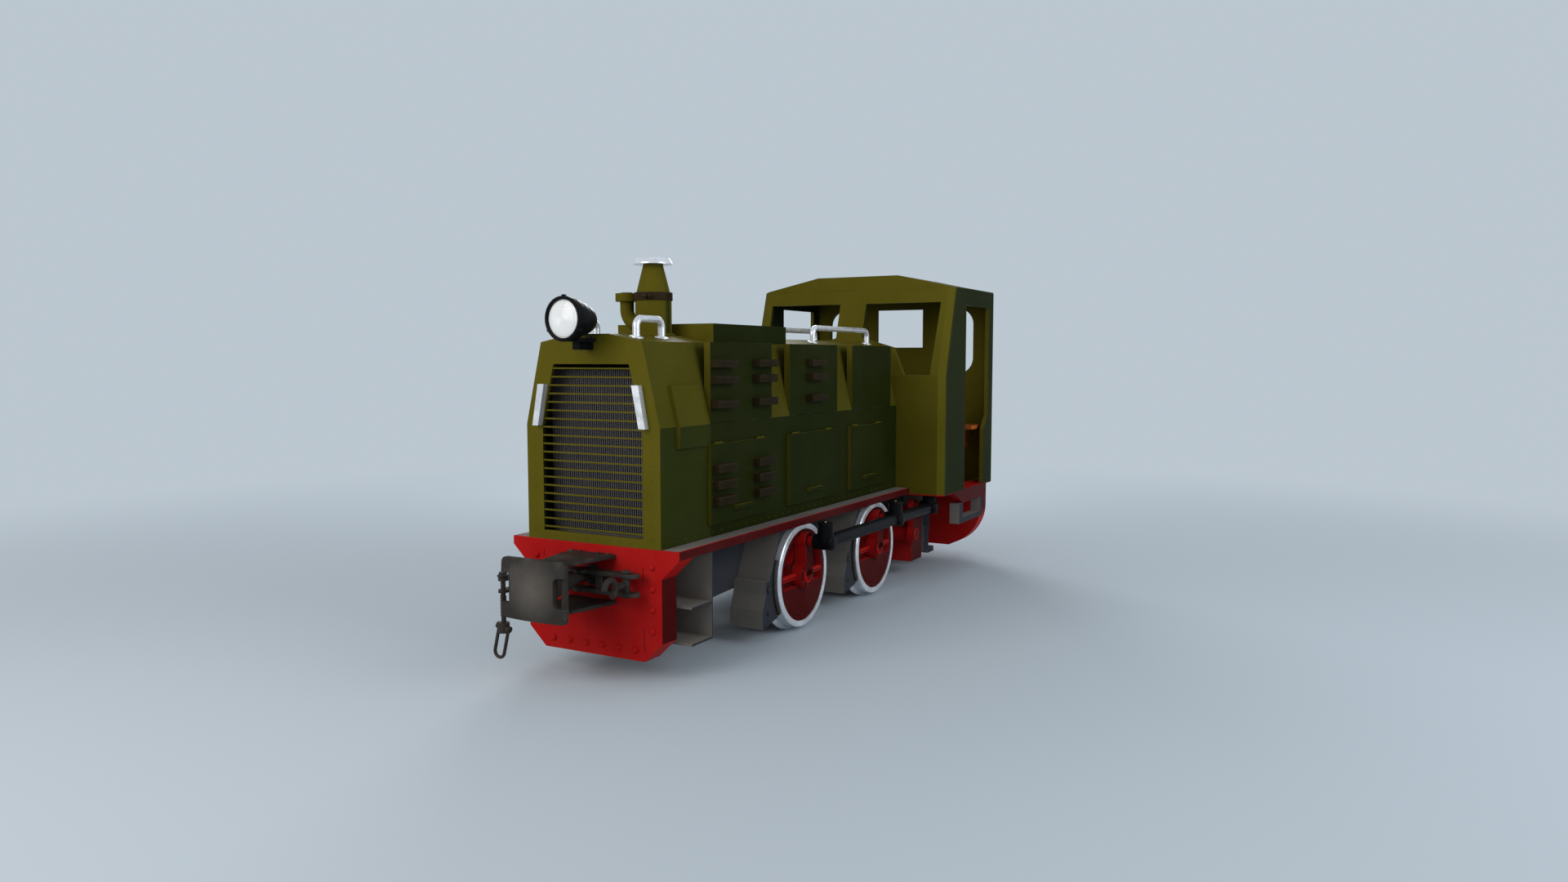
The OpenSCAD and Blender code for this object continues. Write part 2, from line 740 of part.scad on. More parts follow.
// Equalising lever that swings about the shank, with a hook on one end
lever_w = 80;
lever_low = shank_z - 82;
lever_high = shank_z + neck_r + touch;
lever_l = 360;
module lever() {
    eye_x = front_x + lever_x;
    color("gray") {
        for (z = [lever_low, lever_high]) translate([eye_x, 0, z])
            linear_extrude(height = 20) union() {
                square([lever_w, 2 * lever_l], center = true);
                for (s = [-1, 1]) translate([0, s * lever_l]) circle(d = lever_w);
                circle(d = 120);
            }
        for (s = [-1, 1]) block([eye_x - 25, s * 130 - 25, lever_low + 20],
            [eye_x + 25, s * 130 + 25, lever_high]);
        for (s = [-1, 1]) translate([eye_x, s * lever_pin_y, lever_low - 12])
            cylinder(h = lever_high - lever_low + 44, d = 45);
    }
}

module lever_hook() {
    eye_x = front_x + lever_x;
    z = (lever_low + lever_high + 20) / 2;
    color("dimgray") {
        bar_x(eye_x + 20, eye_x + 105, lever_pin_y, z, 40);
        translate([eye_x + 150, lever_pin_y, z]) rotate([90, 0, 0])
            rotate_extrude(angle = 250) translate([50, 0]) circle(d = 38);
    }
}

module front_lever() {
    lever();
    lever_hook();
}

module rear_lever() {
    rotate([0, 0, 180]) front_lever();
}

// Screw link: two straps forward from the lever's other pin, a screw with a trunnion nut,
// and a long link that hangs from the nut a little to one side
strap_l = 350;
link_w = 72;
link_h = 150;
link_d = 20;
link_swing = 14;
trunnion_z = deck - 452;
module screw_link() {
    x = front_x + lever_x;
    y = -lever_pin_y;
    tip = x + strap_l;
    color("dimgray") {
        for (z = [lever_low + 21, lever_high - 19]) difference() {
            union() {
                block([x, y - 28, z], [tip, y + 28, z + 18]);
                translate([x, y, z]) cylinder(h = 18, d = 76);
                translate([tip, y, z]) cylinder(h = 18, d = 56);
            }
            translate([x, y, z - 1]) cylinder(h = 20, d = 45 + 2 * touch);
        }
        translate([tip, y, trunnion_z]) cylinder(h = 305, d = 28);
        translate([tip, y, trunnion_z - 30]) cylinder(h = 60, d = 66);
        translate([tip, y, trunnion_z]) rotate([-link_swing, 0, 0]) {
            bar_y(0, 0, -link_w / 2 - 12, link_w / 2 + 12, 40);
            for (s = [-1, 1]) translate([0, s * link_w / 2, -link_h]) cylinder(h = link_h, d = link_d);
            translate([0, 0, -link_h]) rotate([0, 90, 0]) rotate([0, 0, -90])
                rotate_extrude(angle = 180) translate([link_w / 2, 0]) circle(d = link_d);
        }
    }
}

module front_screw_link() {
    screw_link();
}

module rear_screw_link() {
    rotate([0, 0, 180]) screw_link();
}

// ---------------------------------------------------------------- wheels and rods

tyre_t = 42;
tyre_in = tyre_span / 2 - tyre_w;
centre_r = tread_r - tyre_t;
hub_d = 190;
rim_t = 38;
crank_out = tyre_span / 2 + 46;
pin_out = rod_span / 2 + 45;

// A tyre with its flange on the inner side, on the left
module tyre() {
    translate([0, tyre_in, 0]) rotate([-90, 0, 0]) rotate_extrude($fn = 128)
        polygon([[centre_r, 0], [tread_r + flange_h - 6, 0], [tread_r + flange_h, 8],
            [tread_r + flange_h, 20], [tread_r + 4, 34], [tread_r, 44], [tread_r, tyre_w - 6],
            [tread_r - 6, tyre_w], [centre_r, tyre_w]]);
}

// A wheel centre on the left, with its crank upright
module wheel_centre() {
    face = tyre_span / 2;
    difference() {
        translate([0, tyre_in + 8, 0]) rotate([-90, 0, 0]) rotate_extrude($fn = 128)
            polygon([[0, 0], [centre_r, 0], [centre_r, tyre_w - 16], [centre_r - rim_t, tyre_w - 16],
                [centre_r - rim_t, 70], [0, 70]]);
        for (s = [-1, 1]) for (a = [40, 82]) rotate([0, s * (a - 90), 0])
            rotate([0, s * 90, 0]) bar_y(0, 195, 0, tyre_span, 120);
    }
    bar_y(0, 0, tyre_in - 20, face + 30, hub_d);
    bar_y(0, crank_r, face - 60, crank_out, 120);
    block([-48, face - 60, 0], [48, crank_out, crank_r]);
    intersection() {
        bar_y(0, 0, face - 60, face - 4, 2 * (centre_r - rim_t));
        block([-centre_r, 0, -centre_r], [centre_r, face, -70]);
    }
    for (s = [-1, 1]) rotate([0, s * 90, 0]) translate([0, face - 30, 0]) cylinder(h = centre_r - 10, d = 46);
}

module wheel_and_pin() {
    wheel_centre();
    bar_y(0, crank_r, crank_out - 10, pin_out, crankpin_d);
}

// A wheelset: the right wheel is a quarter turn ahead of the left
module wheelset() {
    wheel_and_pin();
    rotate([0, 90, 0]) mirror([0, 1, 0]) wheel_and_pin();
    bar_y(0, 0, -tyre_in - 5, tyre_in + 5, axle_d);
}

module front_wheelset() {
    color("firebrick") translate([axle_1_x, 0, axle_z]) wheelset();
}

module front_tyres() {
    color("white") translate([axle_1_x, 0, axle_z]) both() tyre();
}

module rear_wheelset() {
    color("firebrick") translate([axle_2_x, 0, axle_z]) wheelset();
}

module rear_tyres() {
    color("white") translate([axle_2_x, 0, axle_z]) both() tyre();
}

// Jackshaft with a crank on each end
module crank_and_pin() {
    inner = tyre_span / 2 - 5;
    bar_y(0, 0, inner, crank_out, 170);
    bar_y(0, crank_r, inner, crank_out, 120);
    block([-55, inner, 0], [55, crank_out, crank_r]);
    bar_y(0, crank_r, crank_out - 10, pin_out, crankpin_d);
}

module jackshaft() {
    color("firebrick") translate([jackshaft_x, 0, axle_z]) {
        crank_and_pin();
        rotate([0, 90, 0]) mirror([0, 1, 0]) crank_and_pin();
        bar_y(0, 0, -tyre_span / 2, tyre_span / 2, axle_d);
    }
}

// One side rod, drawn about the front crank pin on the left
eye_d = 109;
cup_d = 113;
module rod() {
    rod_y = rod_span / 2;
    pins = [0, axle_2_x - axle_1_x, jackshaft_x - axle_1_x];
    cup_h = [137, 137, 95];
    difference() {
        union() {
            for (i = [0 : 2]) {
                bar_y(pins[i], 0, rod_y - 80, rod_y + 56, eye_d);
                translate([pins[i], rod_y, 0]) cylinder(h = cup_h[i], d = cup_d);
                bar_x(pins[i] - 75, pins[i] - 60, rod_y, 0, rod_d + 16);
            }
            bar_x(pins[2] - 75, 0, rod_y, 0, rod_d);
        }
        for (x = pins) bar_y(x, 0, rod_y - 90, pin_out + 1, crankpin_d + 2 * pin_gap);
    }
}

module left_side_rod() {
    color("black") translate([axle_1_x, 0, axle_z + crank_r]) rod();
}

module right_side_rod() {
    color("black") translate([axle_1_x + crank_r, 0, axle_z]) mirror([0, 1, 0]) rod();
}

// ---------------------------------------------------------------- hood flaps

// Lower louvres on the first flap: front ends behind the flap's own front end
flap_louvre_x = [15, 515];
flap_louvre_l = 212;
flap_louvre_z = [430, 330, 228];

// A top-hinged flap on the left, with its hinge barrel and pull
module flap(i) {
    x0 = front_x - flap_rear[i];
    x1 = front_x - flap_front[i];
    outer = flap_y + flap_t;
    color("darkolivegreen") {
        block([x0, flap_y, deck + flap_low], [x1, outer, deck + flap_high]);
        for (x = [x0 + 60, x1 - 160]) bar_x(x, x + 100, hinge_y, hinge_z, 2 * hinge_r);
        block([(x0 + x1) / 2 - 110, outer, deck + 150], [(x0 + x1) / 2 + 110, outer + 30, deck + 175]);
    }
    if (i == 0) color("saddlebrown") for (x = flap_louvre_x) for (z = flap_louvre_z)
        block([x1 - x - flap_louvre_l, outer - 1, deck + z - louvre_h / 2],
            [x1 - x, outer + louvre_proud, deck + z + louvre_h / 2]);
}

module left_flap_1() { flap(0); }
module left_flap_2() { flap(1); }
module left_flap_3() { flap(2); }
module right_flap_1() { mirror([0, 1, 0]) flap(0); }
module right_flap_2() { mirror([0, 1, 0]) flap(1); }
module right_flap_3() { mirror([0, 1, 0]) flap(2); }

frame();
front_headstock();
rear_headstock();
footplate();
footplate_edges();
steps();
brake_blocks();
sandboxes();
hood_nose();
hood_shell();
side_panels();
filter_housing();
grille_slats();
radiator();
trim_bars();
upper_louvres();
exhaust_stack();
stack_cap();
intake_elbow();
headlight();
hood_handrails();
engine();
cab_front();
cab_left_side();
cab_right_side();
cab_rear();
cab_roof();
cab_floor();
driver_seat();
control_desk();
front_buffer();
rear_buffer();
front_lever();
rear_lever();
front_screw_link();
rear_screw_link();
front_wheelset();
front_tyres();
rear_wheelset();
rear_tyres();
jackshaft();
left_side_rod();
right_side_rod();
left_flap_1();
left_flap_2();
left_flap_3();
right_flap_1();
right_flap_2();
right_flap_3();
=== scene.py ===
"""Looks of a small two-axle diesel locomotive: finishes, fittings, engine and cab controls."""
import json
import math

import bmesh
import bpy
from mathutils import Matrix, Vector


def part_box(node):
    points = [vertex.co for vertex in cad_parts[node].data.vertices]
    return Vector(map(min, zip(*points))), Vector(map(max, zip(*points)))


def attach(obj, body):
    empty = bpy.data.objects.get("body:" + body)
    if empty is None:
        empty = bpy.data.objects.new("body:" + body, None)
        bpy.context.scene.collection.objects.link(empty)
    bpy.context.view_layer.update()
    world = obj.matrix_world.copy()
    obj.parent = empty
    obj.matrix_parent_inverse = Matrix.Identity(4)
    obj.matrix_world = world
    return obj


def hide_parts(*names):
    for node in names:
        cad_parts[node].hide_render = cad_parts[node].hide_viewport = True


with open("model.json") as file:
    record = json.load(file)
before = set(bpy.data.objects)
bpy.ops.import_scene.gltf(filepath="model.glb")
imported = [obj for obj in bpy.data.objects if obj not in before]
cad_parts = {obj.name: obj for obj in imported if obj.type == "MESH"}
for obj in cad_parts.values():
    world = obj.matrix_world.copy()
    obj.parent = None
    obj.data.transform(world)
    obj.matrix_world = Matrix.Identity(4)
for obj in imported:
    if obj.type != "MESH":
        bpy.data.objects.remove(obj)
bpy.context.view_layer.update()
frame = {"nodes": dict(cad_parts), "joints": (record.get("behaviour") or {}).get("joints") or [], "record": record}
nodes = frame["nodes"]
joints = {j["name"]: j for j in frame["joints"]}

X, Y, Z = Vector((1, 0, 0)), Vector((0, 1, 0)), Vector((0, 0, 1))
SIDES = (1, -1)

# ---------------------------------------- places from the frame

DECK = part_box("footplate")[1].z
FRONT_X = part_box("front_headstock")[1].x
REAR_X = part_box("rear_headstock")[0].x
HOOD_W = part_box("hood_shell")[1].y
CAB_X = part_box("cab_floor")[1].x
CAB_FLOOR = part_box("cab_floor")[1].z
AXLE_Z = joints["front_wheels_turn"]["pos_m"][2]
AXLES = [joints[n]["pos_m"][0] for n in ("front_wheels_turn", "rear_wheels_turn")]
FLANGE_H = 0.0275
TREAD_R = AXLE_Z - FLANGE_H
TYRE_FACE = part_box("front_tyres")[1].y
ROD_Y = joints["left_rod_pin"]["pos_m"][1]
ROD_FACE = ROD_Y + 0.056
DRAW_Z = DECK - 0.185
LEVER_X = FRONT_X + 0.085

# ---------------------------------------- shader helpers

# Sockets of a colour Mix node
MIX_SHARE, MIX_FIRST, MIX_SECOND, MIX_RESULT = 0, 6, 7, 2


class Shader:
    """Short calls for a node tree: new nodes, links and set values."""

    def __init__(self, tree):
        self.tree = tree

    def node(self, kind, **settings):
        """A new shader node with some of its settings changed."""
        made = self.tree.nodes.new("ShaderNode" + kind)
        for name, value in settings.items():
            setattr(made, name, value)
        return made

    def link(self, source, target):
        """A wire from an output to an input."""
        self.tree.links.new(source, target)

    def put(self, socket, value):
        """Wires an output to an input, or sets a plain value on it."""
        if isinstance(value, bpy.types.NodeSocket):
            self.link(value, socket)
        else:
            socket.default_value = value

    def feed(self, node, **values):
        """Sets or links a node's inputs by name, with _ for a space."""
        for name, value in values.items():
            self.put(node.inputs[name.replace("_", " ")], value)
        return node

    def noise(self, vector, scale, detail=3.0, rough=0.5):
        """Cloudy values from 0 to 1."""
        made = self.node("TexNoise")
        self.feed(made, Vector=vector, Scale=scale, Detail=detail, Roughness=rough)
        return made.outputs["Fac"]

    def spread(self, value, low, high, to_low=0.0, to_high=1.0):
        """Stretches the span from low to high over to_low to to_high, and clamps it."""
        made = self.node("MapRange")
        self.feed(made, Value=value, From_Min=low, From_Max=high, To_Min=to_low, To_Max=to_high)
        return made.outputs["Result"]

    def math(self, operation, first, second=0.0):
        """One sum on two values."""
        made = self.node("Math", operation=operation)
        self.put(made.inputs[0], first)
        self.put(made.inputs[1], second)
        return made.outputs[0]

    def mix(self, share, first, second):
        """A blend of two colours, all second at a share of 1."""
        made = self.node("Mix", data_type="RGBA")
        self.put(made.inputs[MIX_SHARE], share)
        self.put(made.inputs[MIX_FIRST], first)
        self.put(made.inputs[MIX_SECOND], second)
        return made.outputs[MIX_RESULT]

    def blend(self, share, first, second):
        """A blend of two shader nodes, all second at a share of 1."""
        made = self.node("MixShader")
        self.put(made.inputs["Fac"], share)
        self.link(first.outputs[0], made.inputs[1])
        self.link(second.outputs[0], made.inputs[2])
        return made.outputs[0]


def new_material(name):
    """A new material, its short calls and its surface shader."""
    mat = bpy.data.materials.new(name)
    mat.use_nodes = True
    shader = Shader(mat.node_tree)
    return mat, shader, mat.node_tree.nodes["Principled BSDF"]

# ---------------------------------------- camera, light and floor

CAMERA_AT = Vector((7.396, 4.048, 1.918))
CAMERA_YAW = 0.501
CAMERA_PITCH = 0.0773
CAMERA_LENS = 24.444
BACKDROP = (0.50, 0.57, 0.63, 1)
FLOOR_COLOUR = (0.47, 0.53, 0.58, 1)
# Each lamp: its name, place, target, width, power and colour
LAMPS = (("key_lamp", (10.0, -2.2, 4.8), (1.0, 0, 1.0), 6.0, 480, (1, 0.96, 0.90)),
         ("side_lamp", (1.5, 10.0, 5.0), (0, 0, 1.0), 6.0, 420, (0.94, 0.97, 1)),
         ("back_lamp", (-9.0, -6.0, 6.0), (-1.0, 0, 1.2), 5.0, 560, (1, 1, 1)))
SKY_COLOUR = (0.84, 0.89, 0.95, 1)
SKY_STRENGTH = 0.54
FLOOR_R = 60
FADE_FROM, FADE_TO = 3.2, 12.0


def set_camera():
    """The camera, at the height of the hood, off the front left corner."""
    data = bpy.data.cameras.new("camera")
    data.lens = CAMERA_LENS
    data.sensor_width = 36
    data.clip_end = 200
    camera = bpy.data.objects.new("camera", data)
    bpy.context.scene.collection.objects.link(camera)
    flat = math.cos(CAMERA_PITCH)
    look = Vector((-math.cos(CAMERA_YAW) * flat, -math.sin(CAMERA_YAW) * flat,
                   -math.sin(CAMERA_PITCH)))
    camera.location = CAMERA_AT
    camera.rotation_euler = look.to_track_quat("-Z", "Y").to_euler()
    bpy.context.scene.camera = camera


def add_lamp(name, at, target, size, watts, colour):
    """A square soft lamp that points at target."""
    data = bpy.data.lights.new(name, "AREA")
    data.size = size
    data.energy = watts
    data.color = colour
    lamp = bpy.data.objects.new(name, data)
    bpy.context.scene.collection.objects.link(lamp)
    lamp.location = at
    lamp.rotation_euler = (Vector(target) - Vector(at)).to_track_quat("-Z", "Y").to_euler()


def set_lights():
    """Soft lamps and an even sky. Rays that see past the object find the backdrop instead."""
    for lamp in LAMPS:
        add_lamp(*lamp)
    world = bpy.data.worlds.new("studio")
    bpy.context.scene.world = world
    world.use_nodes = True
    world.node_tree.nodes.clear()
    s = Shader(world.node_tree)
    sky = s.feed(s.node("Background"), Color=SKY_COLOUR, Strength=SKY_STRENGTH)
    backdrop = s.feed(s.node("Background"), Color=BACKDROP, Strength=1.0)
    s.link(s.blend(seen_rays(s), sky, backdrop), s.node("OutputWorld").inputs["Surface"])


def seen_rays(s):
    """1 for rays that see the backdrop: from the camera, or by way of metal or glass."""
    path = s.node("LightPath")
    total = path.outputs["Is Camera Ray"]
    for name in ("Is Glossy Ray", "Is Transmission Ray"):
        total = s.math("MAXIMUM", total, path.outputs[name])
    return total


def set_floor():
    """A pale floor that turns into the backdrop's colour far from the object."""
    bm = bmesh.new()
    bmesh.ops.create_circle(bm, cap_ends=True, segments=96, radius=FLOOR_R)
    mesh = bpy.data.meshes.new("floor")
    bm.to_mesh(mesh)
    bm.free()
    floor = bpy.data.objects.new("floor", mesh)
    bpy.context.scene.collection.objects.link(floor)
    mat, s, bsdf = new_material("pale_floor")
    s.feed(bsdf, Base_Color=FLOOR_COLOUR, Roughness=0.9, Specular_IOR_Level=0.1)
    distance = s.node("VectorMath", operation="LENGTH")
    s.link(s.node("TexCoord").outputs["Object"], distance.inputs[0])
    far = s.node("MapRange", interpolation_type="SMOOTHSTEP")
    s.feed(far, Value=distance.outputs["Value"], From_Min=FADE_FROM, From_Max=FADE_TO)
    share = s.math("MULTIPLY", far.outputs["Result"], seen_rays(s))
    glow = s.feed(s.node("Emission"), Color=BACKDROP)
    surface = mat.node_tree.nodes["Material Output"].inputs["Surface"]
    s.link(s.blend(share, bsdf, glow), surface)
    mesh.materials.append(mat)


bpy.context.scene.view_settings.view_transform = "Standard"
set_camera()
set_lights()
set_floor()

# ---------------------------------------- node groups for wear and dirt


def new_group(name, inputs, outputs):
    """An empty node group: its tree, its short calls, and its two end nodes."""
    tree = bpy.data.node_groups.new(name, "ShaderNodeTree")
    for label, value in inputs:
        socket = tree.interface.new_socket(label, in_out="INPUT", socket_type="NodeSocketFloat")
        socket.default_value = value
    for label, kind in outputs:
        tree.interface.new_socket(label, in_out="OUTPUT", socket_type=kind)
    shader = Shader(tree)
    return tree, shader, tree.nodes.new("NodeGroupInput"), tree.nodes.new("NodeGroupOutput")


def make_edge_wear():
    """Rounded-looking edges, and a broken-up mask where paint rubs off them."""
    tree, s, start, end = new_group(
        "edge_wear", [("Radius", 0.004), ("Amount", 0.5)],
        [("Mask", "NodeSocketFloat"), ("Normal", "NodeSocketVector")])
    place = s.node("TexCoord").outputs["Object"]
    bevel = s.node("Bevel", samples=4)
    s.link(start.outputs["Radius"], bevel.inputs["Radius"])
    geometry = s.node("NewGeometry")
    dot = s.node("VectorMath", operation="DOT_PRODUCT")
    s.link(bevel.outputs["Normal"], dot.inputs[0])
    s.link(geometry.outputs["Normal"], dot.inputs[1])
    edge = s.spread(dot.outputs["Value"], 0.985, 0.80)
    patch = s.spread(s.noise(place, 9, 5, 0.65), 0.46, 0.66)
    worn = s.math("MULTIPLY", s.math("MULTIPLY", edge, patch), start.outputs["Amount"])
    s.link(worn, end.inputs["Mask"])
    s.link(bevel.outputs["Normal"], end.inputs["Normal"])
    return tree


def make_grime():
    """Dust and streaks: soft patches, runs down upright faces, and more of both near the ground."""
    tree, s, start, end = new_group(
        "grime", [("Amount", 0.5), ("Scale", 1.0)],
        [("Mask", "NodeSocketFloat"), ("Cloud", "NodeSocketFloat")])
    place = s.node("TexCoord").outputs["Object"]
    cloud = s.noise(place, start.outputs["Scale"], 6, 0.6)
    squash = s.node("Mapping")
    squash.inputs["Scale"].default_value = (14, 14, 0.7)
    s.link(place, squash.inputs["Vector"])
    streak = s.spread(s.noise(squash.outputs["Vector"], 1.6, 4, 0.6), 0.5, 0.8)
    split = s.node("SeparateXYZ")
    s.link(place, split.inputs[0])
    low = s.spread(split.outputs["Z"], 1.1, 0.0)
    total = s.math("ADD", s.math("MULTIPLY", streak, 0.5), s.spread(cloud, 0.45, 0.75))
    total = s.math("MULTIPLY", total, s.math("ADD", low, 0.35))
    total = s.math("MULTIPLY", total, start.outputs["Amount"])
    s.link(s.math("MINIMUM", total, 1.0), end.inputs["Mask"])
    s.link(cloud, end.inputs["Cloud"])
    return tree


EDGE_WEAR = make_edge_wear()
GRIME = make_grime()
DUST = (0.070, 0.058, 0.038, 1)
BARE_STEEL = (0.26, 0.25, 0.235, 1)
RUBBED_IRON = (0.105, 0.093, 0.081, 1)
PAINT_EDGE = 0.004
# How far a face's normal points along Y where the painted side shade starts and where it is full
SIDE_SHADE_FACING = (0.955, 0.999)


def srgb(r, g, b):
    """A colour given as 0 to 255 screen values, made linear."""
    return tuple(((v / 255 + 0.055) / 1.055) ** 2.4 if v > 10 else v / (255 * 12.92)
                 for v in (r, g, b)) + (1,)


def use_group(shader, tree, **values):
    """A copy of a node group with its own values."""
    return shader.feed(shader.node("Group", node_tree=tree), **values)


def clouded(s, dirt, colour, shift):
    """A colour that fades and deepens in soft clouds."""
    dark = tuple(c * (1 - shift) for c in colour[:3]) + (1,)
    pale = tuple(min(1, c * (1 + shift)) for c in colour[:3]) + (1,)
    return s.mix(s.spread(dirt.outputs["Cloud"], 0.3, 0.7), dark, pale)


def painted(name, colour, rough, wear, grime, shift=0.14, shine=0.04, side=None):
    """Brushed or sprayed paint with cloudy fading, grime, rubbed edges and a fine ripple. Faces to the left and
    right get painted shade, the darker colour side, and faces that lean a little get part of it."""
    mat, s, bsdf = new_material(name)
    place = s.node("TexCoord").outputs["Object"]
    edge = use_group(s, EDGE_WEAR, Radius=PAINT_EDGE, Amount=wear)
    dirt = use_group(s, GRIME, Amount=grime, Scale=1.7)
    base = clouded(s, dirt, colour, shift)
    # Painted shade: faces that point left or right are given the darker colour side in place of the paint's own
    # colour.
    if side:
        facing = s.node("SeparateXYZ")
        s.link(s.node("TexCoord").outputs["Normal"], facing.inputs[0])
        side_shade_share = s.spread(s.math("ABSOLUTE", facing.outputs["Y"]), *SIDE_SHADE_FACING)
        base = s.mix(side_shade_share, base, clouded(s, dirt, side, shift))
    base = s.mix(s.math("MULTIPLY", dirt.outputs["Mask"], 0.55), base, DUST)
    base = s.mix(edge.outputs["Mask"], base, BARE_STEEL)
    fine = s.noise(place, 70, 4, 0.6)
    gloss = s.math("ADD", s.spread(fine, 0.2, 0.8, rough - 0.05, rough + 0.07),
                   s.math("MULTIPLY", dirt.outputs["Mask"], 0.3))
    bump = s.node("Bump")
    s.feed(bump, Strength=0.12, Distance=0.0012, Height=fine, Normal=edge.outputs["Normal"])
    s.feed(bsdf, Base_Color=base, Roughness=gloss, Specular_IOR_Level=shine,
           Normal=bump.outputs["Normal"])
    return mat


def bare_metal(name, colour, rough, scratch=0.1, metallic=1.0):
    """Bare metal with fine scratches and soft patches of duller polish."""
    mat, s, bsdf = new_material(name)
    place = s.node("TexCoord").outputs["Object"]
    edge = use_group(s, EDGE_WEAR, Radius=0.003, Amount=1.0)
    stretch = s.node("Mapping")
    stretch.inputs["Scale"].default_value = (40, 220, 60)
    s.link(place, stretch.inputs["Vector"])
    lines = s.noise(stretch.outputs["Vector"], 1.0, 3, 0.6)
    cloud = s.noise(place, 7, 6, 0.65)
    dark = tuple(c * 0.72 for c in colour[:3]) + (1,)
    base = s.mix(s.spread(cloud, 0.35, 0.65), dark, colour)
    gloss = s.math("ADD", s.spread(cloud, 0.3, 0.7, rough - 0.06, rough + 0.1),
                   s.math("MULTIPLY", lines, scratch))
    bump = s.node("Bump")
    s.feed(bump, Strength=0.15, Distance=0.0006, Height=s.math("ADD", lines, cloud),
           Normal=edge.outputs["Normal"])
    s.feed(bsdf, Base_Color=base, Roughness=gloss, Metallic=metallic, Normal=bump.outputs["Normal"])
    return mat


def forged(name, colour, rust):
    """Forged iron: hammered surface, a little rust in the hollows, rubbed bright on edges and on
    the middle of each buffer face."""
    mat, s, bsdf = new_material(name)
    place = s.node("TexCoord").outputs["Object"]
    edge = use_group(s, EDGE_WEAR, Radius=0.007, Amount=1.0)
    hollow = s.noise(place, 22, 6, 0.7)
    cloud = s.noise(place, 4.5, 4, 0.6)
    base = s.mix(s.math("MULTIPLY", s.spread(hollow, 0.50, 0.70), 0.7), colour, rust)
    split = s.node("SeparateXYZ")
    s.link(place, split.inputs[0])
    drop = s.math("SUBTRACT", split.outputs["Z"], DRAW_Z)
    squares = s.math("ADD", s.math("POWER", split.outputs["Y"], 2.0), s.math("POWER", drop, 2.0))
    around = s.math("SQRT", squares)
    reach = s.math("ABSOLUTE", split.outputs["X"])
    rim = FRONT_X + 0.53
    on_buffer = s.spread(reach, rim, rim + 0.01)
    rubbed = s.math("MULTIPLY", s.spread(around, 0.20, 0.02), on_buffer)
    rubbed = s.math("MULTIPLY", rubbed, s.spread(hollow, 0.2, 0.55, 0.75, 1.0))
    patches = s.math("MULTIPLY", s.spread(cloud, 0.55, 0.72), 0.35)
    bright = s.math("MAXIMUM", edge.outputs["Mask"], patches)
    base = s.mix(s.math("MULTIPLY", bright, 0.35), base, BARE_STEEL)
    base = s.mix(rubbed, base, RUBBED_IRON)
    bump = s.node("Bump")
    s.feed(bump, Strength=0.4, Distance=0.0018, Height=hollow, Normal=edge.outputs["Normal"])
    s.feed(bsdf, Base_Color=base, Roughness=s.spread(cloud, 0.3, 0.7, 0.63, 0.45),
           Metallic=0.2, Specular_IOR_Level=0.12, Normal=bump.outputs["Normal"])
    return mat


def plank_wood(name, light, dark):
    """Varnished boards: long grain along Y with darker growth rings and a clear coat."""
    mat, s, bsdf = new_material(name)
    place = s.node("TexCoord").outputs["Object"]
    stretch = s.node("Mapping")
    stretch.inputs["Scale"].default_value = (26, 1.6, 26)
    s.link(place, stretch.inputs["Vector"])
    grain = s.noise(stretch.outputs["Vector"], 2.4, 6, 0.65)
    pores = s.noise(stretch.outputs["Vector"], 24, 3, 0.6)
    base = s.mix(s.spread(grain, 0.35, 0.65), dark, light)
    edge = use_group(s, EDGE_WEAR, Radius=0.004, Amount=0.7)
    base = s.mix(edge.outputs["Mask"], base, tuple(min(1, c * 1.8) for c in light[:3]) + (1,))
    bump = s.node("Bump")
    s.feed(bump, Strength=0.25, Distance=0.0012, Height=pores, Normal=edge.outputs["Normal"])
    s.feed(bsdf, Base_Color=base, Roughness=s.spread(pores, 0.3, 0.7, 0.32, 0.48),
           Coat_Weight=0.4, Normal=bump.outputs["Normal"])
    return mat


def frosted_glass(name):
    """White pressed lens glass, a little warm in soft patches."""
    mat, s, bsdf = new_material(name)
    place = s.node("TexCoord").outputs["Object"]
    cloud = s.noise(place, 30, 3, 0.5)
    s.feed(bsdf, Base_Color=s.mix(cloud, (0.74, 0.77, 0.81, 1), (0.80, 0.79, 0.76, 1)),
           Roughness=s.spread(cloud, 0.3, 0.7, 0.06, 0.16), Coat_Weight=0.3)
    return mat


def core_metal(name, colour):
    """Radiator core: closely set fins as fine ridges over dull metal, with painted shade in the bands between
    them.
    """
    mat, s, bsdf = new_material(name)
    place = s.node("TexCoord").outputs["Object"]
    fins = s.node("TexWave", wave_type="BANDS", bands_direction="Z")
    s.feed(fins, Vector=place, Scale=42.0, Distortion=0.3, Detail=1.0)
    dirt = use_group(s, GRIME, Amount=0.9, Scale=5.0)
    # Painted shade: the bands between the fins are darkened to 0.7 of the metal's colour.
    dark = tuple(c * 0.7 for c in colour[:3]) + (1,)
    base = s.mix(s.spread(fins.outputs["Fac"], 0.1, 0.7), dark, colour)
    base = s.mix(s.math("MULTIPLY", dirt.outputs["Mask"], 0.5), base, DUST)
    bump = s.node("Bump")
    s.feed(bump, Strength=0.6, Distance=0.003, Height=fins.outputs["Fac"])
    s.feed(bsdf, Base_Color=base, Roughness=s.spread(dirt.outputs["Cloud"], 0.3, 0.7, 0.5, 0.68),
           Metallic=0.25, Normal=bump.outputs["Normal"])
    return mat
